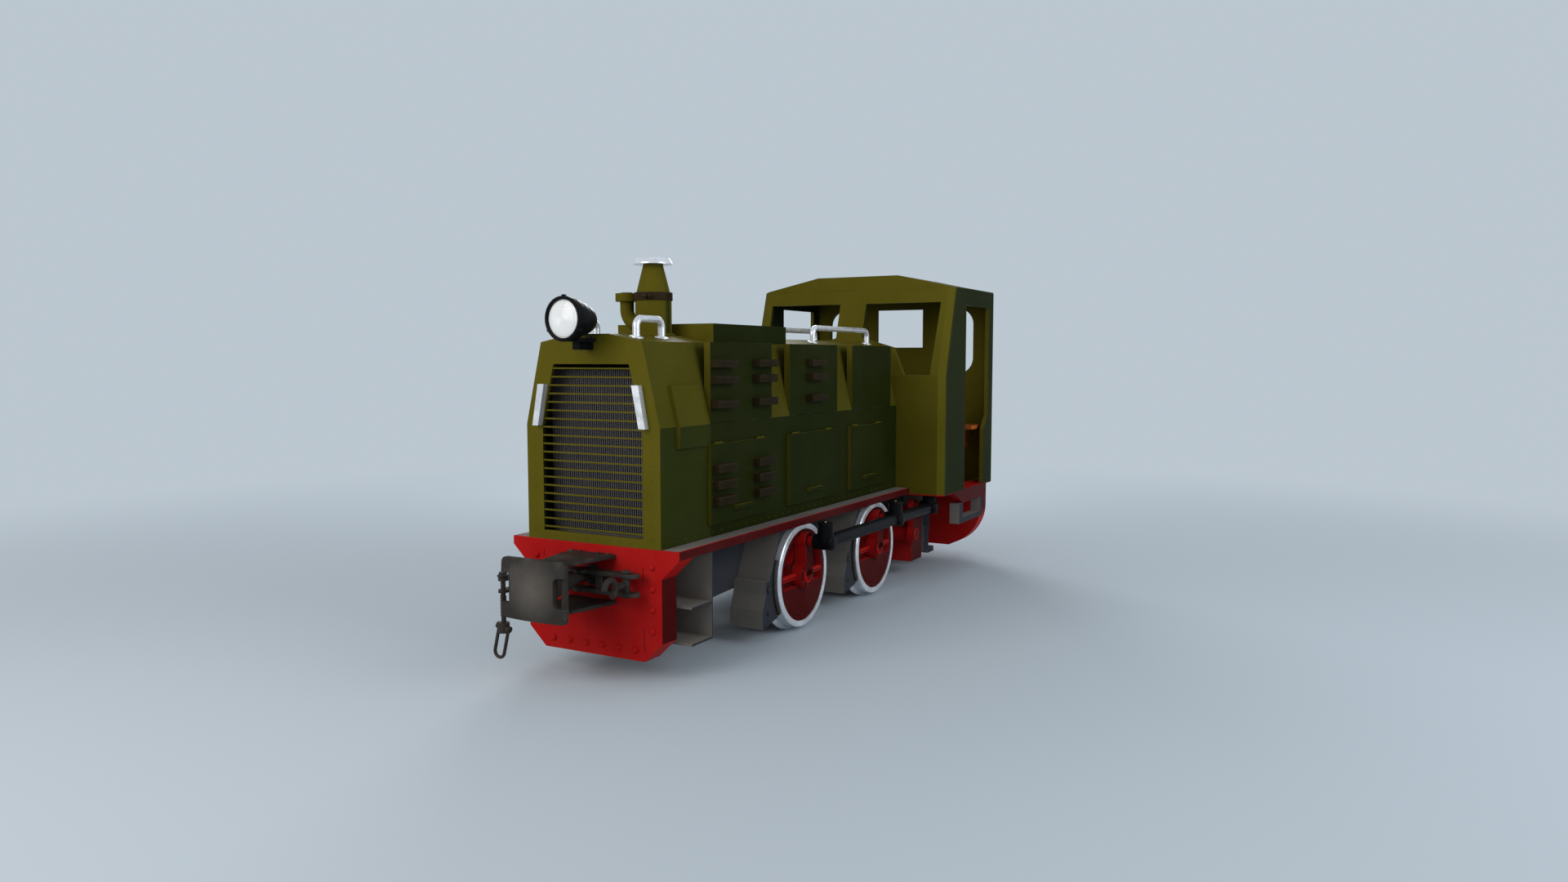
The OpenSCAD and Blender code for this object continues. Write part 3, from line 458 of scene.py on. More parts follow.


# The side colours are painted shade: darker copies of each paint for faces that point left or right.
HOOD_FRONT, HOOD_SIDE_SHADE, CAB_SIDE_SHADE = srgb(86, 79, 20), srgb(43, 49, 16), srgb(31, 37, 10)
MATERIALS = {
    "olive_paint": painted("olive_paint", HOOD_FRONT, rough=0.46, wear=0.3, grime=0.2,
                           shine=0.012, side=HOOD_SIDE_SHADE),
    "green_paint": painted("green_paint", HOOD_FRONT, rough=0.44, wear=0.3, grime=0.2,
                           shine=0.012, side=CAB_SIDE_SHADE),
    "red_paint": painted("red_paint", srgb(164, 22, 22), rough=0.38, wear=0.35, grime=0.3,
                         shine=0.02, side=srgb(70, 10, 11)),
    "frame_grey": painted("frame_grey", srgb(116, 111, 105), rough=0.58, wear=0.4, grime=0.4,
                          shift=0.2, side=srgb(46, 49, 56)),
    "louvre_brown": painted("louvre_brown", srgb(48, 38, 24), rough=0.5, wear=0.3, grime=0.3,
                            shine=0.02, side=srgb(32, 28, 16)),
    "polished_steel": bare_metal("polished_steel", (0.88, 0.90, 0.94, 1), rough=0.2,
                                 scratch=0.06, metallic=0.55),
    "black_enamel": painted("black_enamel", srgb(12, 13, 16), rough=0.34, wear=0.15, grime=0.15,
                            shine=0.05),
    "coupler_iron": forged("coupler_iron", srgb(48, 45, 42), srgb(58, 47, 36)),
    "radiator_core": core_metal("radiator_core", srgb(94, 90, 91)),
    "seat_wood": plank_wood("seat_wood", srgb(206, 112, 34), srgb(128, 58, 14)),
    "engine_grey": painted("engine_grey", srgb(118, 128, 126), rough=0.46, wear=0.5, grime=0.9),
    "lens_glass": frosted_glass("lens_glass"),
    "brass_fittings": bare_metal("brass_fittings", (0.72, 0.52, 0.2, 1), rough=0.3),
    "black_rubber": painted("black_rubber", srgb(30, 30, 30), rough=0.75, wear=0.0, grime=0.5),
}

for row in frame["record"]["subparts"]:
    target = nodes[row["node"]]
    target.data.materials.clear()
    target.data.materials.append(MATERIALS[row["material_slot"]])

# ---------------------------------------- mesh helpers


def turn_to(axis):
    """A rotation that takes +Z to axis."""
    return Vector(axis).to_track_quat("Z", "Y").to_matrix().to_4x4()


def on_circle(turn, u, v):
    """A unit vector at an angle, in radians, in the plane of u and v."""
    return math.cos(turn) * u + math.sin(turn) * v


def add_rod(bm, start, end, radius, radius_end=None, sides=24):
    """A closed cylinder or cone between two points."""
    start, end = Vector(start), Vector(end)
    along = end - start
    place = Matrix.Translation((start + end) / 2) @ turn_to(along)
    bmesh.ops.create_cone(bm, cap_ends=True, segments=sides, radius1=radius,
                          radius2=radius if radius_end is None else radius_end,
                          depth=along.length, matrix=place)


def add_block(bm, low, high, bevel=0.0, steps=2):
    """A box between two corners, with its edges rounded."""
    low, high = Vector(low), Vector(high)
    size = high - low
    place = Matrix.Translation((low + high) / 2) @ Matrix.Diagonal((*size, 1))
    made = bmesh.ops.create_cube(bm, size=1, matrix=place)
    if bevel:
        edges = list({edge for vert in made["verts"] for edge in vert.link_edges})
        bmesh.ops.bevel(bm, geom=edges, offset=bevel, offset_type="OFFSET", segments=steps,
                        profile=0.5, affect="EDGES", clamp_overlap=True, material=-1)


def add_turned(bm, profile, centre, axis, sides=48):
    """A closed turned shape from (radius, height) points, spun about axis through centre."""
    place = Matrix.Translation(centre) @ turn_to(axis)
    verts = [bm.verts.new((radius, 0, height)) for radius, height in profile]
    edges = [bm.edges.new(pair) for pair in zip(verts, verts[1:])]
    made = bmesh.ops.spin(bm, geom=verts + edges, cent=(0, 0, 0), axis=(0, 0, 1),
                          angle=2 * math.pi, steps=sides, use_merge=True)
    fresh = {v for v in made["geom_last"] if isinstance(v, bmesh.types.BMVert)}
    grow = list(set(verts) | fresh)
    seen = set(grow)
    while grow:
        vert = grow.pop()
        for edge in vert.link_edges:
            other = edge.other_vert(vert)
            if other not in seen:
                seen.add(other)
                grow.append(other)
    found = list(seen)
    bmesh.ops.remove_doubles(bm, verts=found, dist=1e-6)
    found = [v for v in found if v.is_valid]
    bmesh.ops.transform(bm, matrix=place, verts=found)


def add_ring(bm, place, radius, sides):
    """A loose ring of edges, as its list of edges."""
    made = bmesh.ops.create_circle(bm, cap_ends=False, segments=sides, radius=radius,
                                   matrix=place)
    return list({edge for vert in made["verts"] for edge in vert.link_edges})


def add_tube(bm, points, radius, sides):
    """A round bar along a list of points, with one ring at each point."""
    points = [Vector(p) for p in points]
    rings = []
    for i, point in enumerate(points):
        ahead = points[min(i + 1, len(points) - 1)]
        behind = points[max(i - 1, 0)]
        place = Matrix.Translation(point) @ turn_to((ahead - behind).normalized())
        rings.append(add_ring(bm, place, radius, sides))
    for first, second in zip(rings, rings[1:]):
        bmesh.ops.bridge_loops(bm, edges=first + second)
    for ring in (rings[0], rings[-1]):
        bmesh.ops.contextual_create(bm, geom=ring)


def add_prism(bm, points, way):
    """A face through the points, drawn out to a closed prism."""
    face = bm.faces.new([bm.verts.new(point) for point in points])
    made = bmesh.ops.extrude_face_region(bm, geom=[face])
    moved = [v for v in made["geom"] if isinstance(v, bmesh.types.BMVert)]
    bmesh.ops.translate(bm, vec=way, verts=moved)


def arc(centre, radius, start, end, steps, u=X, v=Z):
    """Points on an arc in the plane of u and v, angles in degrees."""
    centre = Vector(centre)
    turns = [math.radians(start + (end - start) * i / steps) for i in range(steps + 1)]
    return [centre + radius * on_circle(turn, u, v) for turn in turns]


def add_dome(bm, at, axis, radius, height):
    """A round-headed rivet or bolt head."""
    curve = [(radius * math.cos(a), height * math.sin(a)) for a in (0, 0.42, 0.84, 1.22)]
    add_turned(bm, [(radius, -0.002)] + curve + [(0, height)], at, axis, 14)


def add_hex(bm, at, axis, size, height):
    """A hexagon head with a washer."""
    at, axis = Vector(at), Vector(axis).normalized()
    add_rod(bm, at - 0.002 * axis, at + height * 0.3 * axis, size * 0.75, sides=20)
    add_rod(bm, at, at + height * axis, size * 0.58, size * 0.54, sides=6)


def finish_piece(bm, name, slot, body="root", smooth=40):
    """Turns a bmesh into a piece with its material, riding on a body."""
    bmesh.ops.remove_doubles(bm, verts=bm.verts, dist=1e-6)
    bmesh.ops.recalc_face_normals(bm, faces=bm.faces)
    mesh = bpy.data.meshes.new(name)
    bm.to_mesh(mesh)
    bm.free()
    mesh.materials.append(MATERIALS[slot])
    for face in mesh.polygons:
        face.use_smooth = True
    mesh.set_sharp_from_angle(angle=math.radians(smooth))
    piece = bpy.data.objects.new(name, mesh)
    bpy.context.scene.collection.objects.link(piece)
    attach(piece, body)
    return piece


# ---------------------------------------- headstocks and couplers

RIVET_R, RIVET_H = 0.021, 0.019
COLUMN_Y = 0.4365
COLUMN_DROPS = (0.1045, 0.2345, 0.358, 0.4865)
ROW_DROP = 0.61
ROW_Y = (0.31, 0.185, 0.06)
# Each seam of the front headstock: its Y, how far its top is below the deck, its length
SEAMS = ((-0.381, 0.060, 0.050), (0.119, 0.064, 0.022), (0.369, 0.110, 0.087),
         (0.376, 0.478, 0.137))
GUIDE_BOLTS_Y = (-0.139, -0.069, 0.069, 0.139)
PIN_Y = 0.31
LINK_REACH = 0.35
BUFFER_REACH = 0.5
ENDS = ((1, FRONT_X), (-1, REAR_X))


def headstock_rivets():
    """Large rivets in columns and a low row on both headstocks."""
    bm = bmesh.new()
    for end, face in ENDS:
        for side in SIDES:
            for drop in COLUMN_DROPS:
                add_dome(bm, (face, side * COLUMN_Y, DECK - drop), end * X, RIVET_R, RIVET_H)
            for y in ROW_Y:
                add_dome(bm, (face, side * y, DECK - ROW_DROP), end * X, RIVET_R, RIVET_H)
    finish_piece(bm, "headstock_rivets", "red_paint")


def headstock_seams():
    """Short dark joints between the plates of the front headstock."""
    bm = bmesh.new()
    half = 0.0018
    for y, top, length in SEAMS:
        add_block(bm, (FRONT_X - 0.002, y - half, DECK - top - length),
                  (FRONT_X + 0.0006, y + half, DECK - top))
    finish_piece(bm, "headstock_seams", "black_enamel")


def guide_bolts():
    """A row of bolts along the root of each guide plate."""
    upper, lower = DECK - 0.051, DECK - 0.348
    bm = bmesh.new()
    for end, face in ENDS:
        for y in GUIDE_BOLTS_Y:
            add_hex(bm, (face + end * 0.03, y, upper), Z, 0.015, 0.013)
            add_hex(bm, (face + end * 0.03, y, lower), -Z, 0.015, 0.013)
    finish_piece(bm, "guide_plate_bolts", "coupler_iron")


def screw_thread(end, body):
    """The coupling's thread, a ridge wound along the screw, and the nut at the screw's top."""
    centre = Vector((end * (LEVER_X + LINK_REACH), -end * PIN_Y, 0))
    low, high = DECK - 0.39, DECK - 0.265
    pitch, radius = 0.0125, 0.0155
    per_turn = 12
    steps = int((high - low) / pitch * per_turn)
    points = []
    for i in range(steps + 1):
        spot = centre + radius * on_circle(2 * math.pi * i / per_turn, X, Y)
        spot.z = low + pitch * i / per_turn
        points.append(spot)
    bm = bmesh.new()
    add_tube(bm, points, 0.0042, 6)
    add_hex(bm, centre + (DECK - 0.15) * Z, Z, 0.044, 0.024)
    finish_piece(bm, body + "_screw_thread", "coupler_iron", body)


def pin_heads(end, body):
    """Round washers and split pins on the swinging lever's pins."""
    bm = bmesh.new()
    lever_half, pin_proud = 0.0283, 0.032
    top = DRAW_Z + lever_half + pin_proud
    for side in SIDES:
        at = Vector((end * LEVER_X, side * PIN_Y, top))
        add_turned(bm, [(0, 0.006), (0.022, 0.006), (0.028, 0.0), (0.028, -0.008), (0, -0.008)],
                   at, Z, 24)
        hole = at - 0.004 * Z
        add_rod(bm, hole - 0.034 * Y, hole + 0.034 * Y, 0.0035, sides=8)
    finish_piece(bm, body + "_pin_heads", "coupler_iron", body)


def buffer_collars():
    """Collar where each buffer's shank meets its plate, and a nut ring at the headstock."""
    bm = bmesh.new()
    for end, face in ENDS:
        centre = Vector((face, 0, DRAW_Z))
        plate = centre + end * BUFFER_REACH * X
        add_turned(bm, [(0.10, 0.0), (0.128, 0.004), (0.132, 0.012), (0.132, 0.02), (0.10, 0.02)],
                   plate - end * 0.022 * X, end * X, 40)
        add_turned(bm, [(0.026, -0.004), (0.058, -0.004), (0.062, 0.0), (0.062, 0.016),
                        (0.056, 0.02), (0.026, 0.02)], centre, end * X, 40)
        for i in range(6):
            spot = centre + 0.047 * on_circle(math.pi * i / 3 + 0.26, Y, Z)
            add_hex(bm, spot + end * 0.02 * X, end * X, 0.011, 0.008)
    finish_piece(bm, "buffer_collars", "coupler_iron")


# ---------------------------------------- nose, lamp and stack

LAMP_Z = DECK + 1.335
LAMP_FACE = FRONT_X + 0.24


def lamp_lens():
    """Domed pressed lens with raised rings, and its clamped rim."""
    bm = bmesh.new()
    per_ridge = 4
    steps = 9 * per_ridge
    radius = 0.111
    profile = [(radius, -0.010), (radius, -0.002)]
    for i in range(steps, -1, -1):
        r = radius * i / steps
        ridge = 0.0009 * (1 + math.cos(2 * math.pi * i / per_ridge))
        profile.append((r, 0.020 * (1 - (r / radius) ** 2) ** 0.8 + ridge - 0.004))
    add_turned(bm, profile, (LAMP_FACE - 0.006, 0, LAMP_Z), X, 72)
    finish_piece(bm, "lamp_lens", "lens_glass", smooth=60)
    bm = bmesh.new()
    add_turned(bm, [(0.110, -0.004), (0.112, 0.006), (0.121, 0.010), (0.130, 0.004),
                    (0.1315, -0.006), (0.1275, -0.010)], (LAMP_FACE, 0, LAMP_Z), X, 96)
    for degrees in (90, 210, 330):
        spot = Vector((LAMP_FACE - 0.012, 0, LAMP_Z))
        spot += 0.131 * on_circle(math.radians(degrees), Y, Z)
        add_block(bm, spot - Vector((0.016, 0.008, 0.008)),
                  spot + Vector((0.012, 0.008, 0.008)), 0.003)
    finish_piece(bm, "lamp_rim", "black_enamel")


def lamp_fittings():
    """The lamp bracket's bolts."""
    bm = bmesh.new()
    for y in (-0.045, 0.045):
        for x in (0.04, 0.075):
            add_hex(bm, (FRONT_X + x, y, DECK + 1.228), Z, 0.012, 0.008)
    finish_piece(bm, "lamp_bracket_bolts", "black_enamel")


STACK_X = FRONT_X - 0.645
STACK_BASE = DECK + 1.254
STACK_R = 0.1165
BAND_LOW, BAND_H = 0.2235, 0.052


def stack_fittings():
    """Clamp band round the stack, its bolt lugs, and a bead at the stack's foot."""
    bm = bmesh.new()
    low, high = BAND_LOW, BAND_LOW + BAND_H
    add_turned(bm, [(STACK_R, low), (0.122, low), (0.1235, low + 0.004), (0.1235, high - 0.004),
                    (0.122, high), (STACK_R, high)], (STACK_X, 0, STACK_BASE), Z, 96)
    for degrees in (20, 200):
        out = on_circle(math.radians(degrees), X, Y)
        across = on_circle(math.radians(degrees), Y, -X)
        spot = Vector((STACK_X, 0, STACK_BASE + low + BAND_H / 2)) + 0.135 * out
        for side in SIDES:
            middle = spot + side * 0.009 * across
            add_rod(bm, middle - 0.004 * across, middle + 0.004 * across, 0.018, sides=20)
        add_rod(bm, spot - 0.03 * across, spot + 0.03 * across, 0.006, sides=6)
    finish_piece(bm, "stack_clamp", "louvre_brown")
    bm = bmesh.new()
    add_turned(bm, [(STACK_R, 0.0), (0.138, 0.0), (0.140, 0.004), (0.138, 0.012), (STACK_R, 0.014)],
               (STACK_X, 0, STACK_BASE), Z, 96)
    ring = Vector((STACK_X, 0, STACK_BASE + 0.012))
    for i in range(8):
        add_dome(bm, ring + 0.129 * on_circle(math.pi * i / 4 + 0.2, X, Y), Z, 0.006, 0.005)
    finish_piece(bm, "stack_foot_ring", "olive_paint")


def radiator_tubes():
    """Upright tubes in front of the core, seen through the slats."""
    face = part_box("radiator")[1].x
    low, high = DECK + 0.05, DECK + 1.04
    count, half = 46, 0.365
    corner, slope = 0.30, 3.2
    bm = bmesh.new()
    for i in range(count):
        y = -half + 2 * half * i / (count - 1)
        top = high if abs(y) < corner else high - (abs(y) - corner) * slope
        add_block(bm, (face, y - 0.0035, low), (face + 0.010, y + 0.0035, top))
    finish_piece(bm, "radiator_tubes", "radiator_core")


def handrail_feet():
    """A small flange with two screws under each handrail leg."""
    bm = bmesh.new()
    fold_y, fold_z, rail_y = 0.378, DECK + 1.208, 0.25
    slope = 46 / 245
    lean = math.atan(slope)
    z = fold_z + (fold_y - rail_y) * slope
    for x in (0.120, 0.378, 2.400, 3.415):
        for side in SIDES:
            normal = Vector((0, side * math.sin(lean), math.cos(lean)))
            at = Vector((FRONT_X - x, side * rail_y, z))
            add_turned(bm, [(0.021, 0.012), (0.03, 0.011), (0.042, 0.006), (0.043, 0.0),
                            (0.021, 0.0)], at, normal, 32)
            for turn in SIDES:
                add_dome(bm, at + 0.034 * turn * X + 0.006 * normal, normal, 0.005, 0.004)
    finish_piece(bm, "handrail_feet", "polished_steel")


# ---------------------------------------- hood, flaps and louvres

# How far each louvre starts behind the flap's front edge or the hood's, and its height on the deck
FLAP_LOUVRES_X, FLAP_LOUVRES_Z = (0.015, 0.515), (0.430, 0.330, 0.228)
UPPER_LOUVRES_X, UPPER_LOUVRES_Z = (0.538, 1.048, 1.811), (1.078, 0.978, 0.825)
SMALL_RIVET = (0.005, 0.003)


def flap_louvres(body, sign):
    """Pressed covers over the louvres of a side's first flap, with rounded edges."""
    proud, inner, half = 0.0565, HOOD_W + 0.0255, 0.0265
    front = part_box(body)[1].x
    bm = bmesh.new()
    for x in FLAP_LOUVRES_X:
        for z in FLAP_LOUVRES_Z:
            x0, x1 = front - x - 0.2135, front - x + 0.0015
            y0, y1 = sorted((sign * inner, sign * (inner + proud)))
            add_block(bm, (x0, y0, DECK + z - half), (x1, y1, DECK + z + half), 0.006, 3)
    finish_piece(bm, body + "_louvres", "louvre_brown", body)


def hood_rivets():
    """Small rivets along the lower edges of the hood and up the front posts."""
    bm = bmesh.new()
    for side in SIDES:
        for i in range(34):
            x = FRONT_X - 0.06 - 0.1 * i
            if x > CAB_X + 0.04:
                add_dome(bm, (x, side * HOOD_W, DECK + 0.03), side * Y, *SMALL_RIVET)
    for y in (-0.44, 0.44):
        for i in range(8):
            add_dome(bm, (FRONT_X, y, DECK + 0.06 + 0.085 * i), X, *SMALL_RIVET)
    for i in range(8):
        add_dome(bm, (FRONT_X, -0.28 + 0.08 * i, DECK + 0.027), X, *SMALL_RIVET)
    finish_piece(bm, "hood_rivets", "olive_paint")


def louvre_faces():
    """A thin brown plate on the outer face of each upper louvre."""
    bm = bmesh.new()
    for side in SIDES:
        face = side * (HOOD_W + 0.055)
        for x in UPPER_LOUVRES_X:
            for z in UPPER_LOUVRES_Z:
                add_block(bm, (FRONT_X - x - 0.244, face - 0.002, DECK + z - 0.019),
                          (FRONT_X - x - 0.006, face + 0.0015, DECK + z + 0.019), 0.001)
    finish_piece(bm, "louvre_faces", "louvre_brown")


# ---------------------------------------- wheels, rods and brakes

HUB_BOLT_R = 0.076
# The tops of a rod's three oil cups, from its pins
CUP_TOPS = (0.137, 0.137, 0.095)
# How far a shoe's pin and a carrier's bolt are in front of the axle, and below the deck
SHOE_PIN = (0.46, 0.44)
CARRIER_BOLT = (0.47, 0.60)


def wheel_fittings(body, axle_x):
    """Axle end caps and hub bolts on both wheels of a wheelset."""
    bm = bmesh.new()
    for side in SIDES:
        face = side * (TYRE_FACE + 0.030)
        centre = Vector((axle_x, face, AXLE_Z))
        out = side * Y
        add_turned(bm, [(0, 0.016), (0.044, 0.016), (0.056, 0.010), (0.060, 0.0), (0.060, -0.002),
                        (0, -0.002)], centre, out, 40)
        for i in range(6):
            spot = centre + HUB_BOLT_R * on_circle(math.pi * i / 3 + 0.5, X, Z)
            add_hex(bm, spot, out, 0.013, 0.009)
    finish_piece(bm, body + "_hub_bolts", "red_paint", body)


def rod_fittings(side):
    """Rounded end caps on the three eyes, lids on the oil cups and tapered collars on the rod."""
    body = side + "_side_rod"
    sign = 1 if side == "left" else -1
    pin = joints[side + "_rod_pin"]["pos_m"]
    jackshaft_x = joints["jackshaft_turn"]["pos_m"][0]
    reach = [0.0, AXLES[1] - AXLES[0], jackshaft_x - AXLES[0]]
    bm = bmesh.new()
    for dx, tall in zip(reach, CUP_TOPS):
        face = Vector((pin[0] + dx, sign * ROD_FACE, pin[2]))
        add_turned(bm, [(0, 0.017), (0.022, 0.016), (0.038, 0.012), (0.049, 0.005),
                        (0.0545, -0.004), (0.0545, -0.010), (0.045, -0.012)], face, sign * Y, 48)
        top = Vector((pin[0] + dx, sign * ROD_Y, pin[2] + tall))
        add_turned(bm, [(0, 0.004), (0.045, 0.004), (0.054, 0.001), (0.058, -0.005),
                        (0.058, -0.012), (0.055, -0.014)], top, Z, 48)
        add_turned(bm, [(0.0455, 0.034), (0.048, 0.030), (0.055, 0.006), (0.0555, 0.0),
                        (0.055, -0.005), (0.050, -0.008), (0.0455, -0.008)],
                   Vector((pin[0] + dx - 0.069, sign * ROD_Y, pin[2])), -X, 48)
    finish_piece(bm, body + "_caps", "black_enamel", body)
    bm = bmesh.new()
    for dx, tall in zip(reach, CUP_TOPS):
        top = Vector((pin[0] + dx, sign * ROD_Y, pin[2] + tall + 0.003))
        add_hex(bm, top, Z, 0.013, 0.007)
    finish_piece(bm, body + "_oil_plugs", "brass_fittings", body)


def brake_shoes():
    """Cast shoes that follow the treads, with their pins in the carriers."""
    bm = bmesh.new()
    inner, outer = TREAD_R + 0.006, TREAD_R + 0.034
    for axle_x in AXLES:
        for side in SIDES:
            y0, y1 = side * (TYRE_FACE - 0.085), side * (TYRE_FACE - 0.012)
            centre = Vector((axle_x, 0, AXLE_Z))
            line = arc(centre, inner, -34, 24, 14) + arc(centre, outer, 24, -34, 14)
            add_prism(bm, [point + y0 * Y for point in line], (y1 - y0) * Y)
    finish_piece(bm, "brake_shoes", "coupler_iron")
    bm = bmesh.new()
    for axle_x in AXLES:
        for side in SIDES:
            face = side * (TYRE_FACE - 0.025)
            pin, bolt = [(axle_x + ahead, face, DECK - drop)
                         for ahead, drop in (SHOE_PIN, CARRIER_BOLT)]
            add_turned(bm, [(0, 0.012), (0.014, 0.012), (0.02, 0.008), (0.022, 0.0),
                            (0.022, -0.002), (0, -0.002)], pin, side * Y, 24)
            add_hex(bm, bolt, side * Y, 0.02, 0.012)
    finish_piece(bm, "brake_pins", "coupler_iron")


def jackshaft_fittings():
    """End caps on the jackshaft."""
    joint = joints["jackshaft_turn"]["pos_m"]
    bm = bmesh.new()
    for side in SIDES:
        centre = Vector((joint[0], side * (TYRE_FACE + 0.046), joint[2]))
        add_turned(bm, [(0, 0.012), (0.040, 0.012), (0.050, 0.008), (0.054, 0.0), (0.054, -0.002),
                        (0, -0.002)], centre, side * Y, 36)
    finish_piece(bm, "jackshaft_caps", "red_paint", "jackshaft")


# ---------------------------------------- engine under the hood

ENGINE_REAR, ENGINE_FRONT = [corner.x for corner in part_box("engine")]
GEARBOX_L, FAN_GAP = 0.35, 0.12
CYLINDERS = 6
CYLINDER_L = (ENGINE_FRONT - FAN_GAP - ENGINE_REAR - GEARBOX_L) / CYLINDERS
CYLINDER_STARTS = [ENGINE_REAR + GEARBOX_L + CYLINDER_L * i for i in range(CYLINDERS)]
CYLINDER_MIDDLES = [ENGINE_REAR + GEARBOX_L + CYLINDER_L * (i + 0.5) for i in range(CYLINDERS)]
PUMP_X = ENGINE_REAR + 0.62
FAN_Z = DECK + 0.42
CRANK_Z = DECK + 0.17


def engine_castings():
    """Crankcase, sump, gearbox and front boss, with a head and a rocker cover to each cylinder."""
    rear, front = ENGINE_REAR, ENGINE_FRONT
    bm = bmesh.new()
    add_block(bm, (rear + GEARBOX_L, -0.17, DECK + 0.10),
              (front - FAN_GAP, 0.17, DECK + 0.46), 0.02)
    add_block(bm, (rear + 0.37, -0.24, DECK + 0.02), (front - 0.14, 0.24, DECK + 0.12), 0.02)
    add_block(bm, (rear, -0.25, DECK), (rear + 0.34, 0.25, DECK + 0.56), 0.05, 3)
    boss_z = DECK + 0.30
    add_rod(bm, (front - FAN_GAP, 0, boss_z), (front - 0.04, 0, boss_z), 0.13, 0.12, 40)
    for x in CYLINDER_STARTS:
        end = x + CYLINDER_L
        add_block(bm, (x + 0.012, -0.15, DECK + 0.455), (end - 0.012, 0.15, DECK + 0.60), 0.012)
        add_block(bm, (x + 0.03, -0.10, DECK + 0.595), (end - 0.03, 0.10, DECK + 0.66), 0.02, 3)
    return finish_piece(bm, "engine_castings", "engine_grey")


def engine_manifolds():
    """A manifold along each side with its branches and flanges, and the fuel pump."""
    pipe_y, z = 0.215, DECK + 0.53
    bm = bmesh.new()
    for side in SIDES:
        y = side * pipe_y
        add_rod(bm, (ENGINE_REAR + 0.40, y, z), (ENGINE_FRONT - 0.18, y, z), 0.036)
        for x in CYLINDER_MIDDLES:
            add_rod(bm, (x, side * 0.148, z), (x, y, z), 0.026, sides=20)
            add_block(bm, (x - 0.04, side * 0.146, z - 0.03), (x + 0.04, side * 0.158, z + 0.03))
    add_block(bm, (PUMP_X, 0.175, DECK + 0.22), (PUMP_X + 0.40, 0.255, DECK + 0.33), 0.012)
    return finish_piece(bm, "engine_manifolds", "louvre_brown")


def fuel_pipes():
    """A thin pipe from the pump to each head, and a cap nut on each rocker cover."""
    bm = bmesh.new()
    for i, x in enumerate(CYLINDER_MIDDLES):
        outlet = Vector((PUMP_X + 0.04 + 0.06 * i, 0.235, DECK + 0.33))
        bend = arc((x, 0.17, DECK + 0.50), 0.12, 80, -10, 6, Y, Z)
        add_tube(bm, bend + [outlet], 0.005, 8)
        add_hex(bm, (x, 0, DECK + 0.66), Z, 0.02, 0.012)
    return finish_piece(bm, "fuel_pipes", "brass_fittings")


def cooling_fan():
    """A fan of six skewed blades on its hub and shaft."""
    blades, reach, skew, thick = 6, 0.26, 0.012, 0.004
    bm = bmesh.new()
    hub = Vector((ENGINE_FRONT - 0.025, 0, FAN_Z))
    for i in range(blades):
        turn = 2 * math.pi * i / blades
        tip = hub + reach * on_circle(turn, Y, Z)
        across = on_circle(turn, Z, -Y)
        blade = [hub - 0.02 * across - skew * X, hub + 0.02 * across + skew * X,
                 tip + 0.055 * across + skew * X, tip - 0.035 * across - skew * X]
        add_prism(bm, blade, thick * X)
    add_rod(bm, hub - 0.03 * X, hub + 0.022 * X, 0.055, sides=32)
    add_rod(bm, hub - 0.09 * X, hub - 0.03 * X, 0.03)
    return finish_piece(bm, "cooling_fan", "red_paint")


def fan_belt():
    """The belt round the crank pulley and the fan pulley."""
    belt_y, half, front = 0.058, 0.006, ENGINE_FRONT
    bm = bmesh.new()
    for z, r in ((FAN_Z, 0.052), (CRANK_Z, 0.07)):
        add_rod(bm, (front - 0.075, 0, z), (front - 0.05, 0, z), r, sides=32)
    for side in SIDES:
        add_block(bm, (front - 0.072, side * belt_y - half, CRANK_Z),
                  (front - 0.053, side * belt_y + half, FAN_Z), 0.002)
    return finish_piece(bm, "fan_belt", "black_rubber")


def engine_block():
    """A six-cylinder engine in place of the plain block."""
    pieces = [engine_castings(), engine_manifolds(), fuel_pipes(), cooling_fan(), fan_belt()]
    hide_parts("engine")


# ---------------------------------------- cab

DESK_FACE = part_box("control_desk")[0].x
DESK_TOP = DECK + 0.90
# Each gauge: its Y, its height on the deck, its radius
GAUGES = ((-0.20, 0.78, 0.055), (-0.05, 0.78, 0.055), (0.10, 0.78, 0.055), (0.24, 0.79, 0.04),
          (-0.20, 0.63, 0.04), (-0.08, 0.63, 0.04))
# Each lever: its Y, how far its tip leans to the left, its height
LEVERS = ((0.28, 0.06, 0.20), (0.36, -0.05, 0.17))


def gauge_rims():
    """A turned rim round each gauge."""
    bm = bmesh.new()
    for y, z, r in GAUGES:
        at = Vector((DESK_FACE, y, DECK + z))
        add_turned(bm, [(r - 0.012, 0.004), (r - 0.008, 0.014), (r, 0.014), (r + 0.004, 0.006),
                        (r + 0.004, -0.002), (r - 0.012, -0.002)], at, -X, 40)
    finish_piece(bm, "gauge_rims", "brass_fittings")


def gauge_faces():
    """A pale disc in each gauge."""
    bm = bmesh.new()
    for y, z, r in GAUGES:
        at = Vector((DESK_FACE - 0.003, y, DECK + z))
        add_rod(bm, at + 0.004 * X, at, r - 0.010, sides=32)
    finish_piece(bm, "gauge_faces", "lens_glass")


def dial_way(degrees):
    """The way a gauge's hand points at an angle, as the driver sees it."""
    return on_circle(math.radians(degrees), -Y, Z)


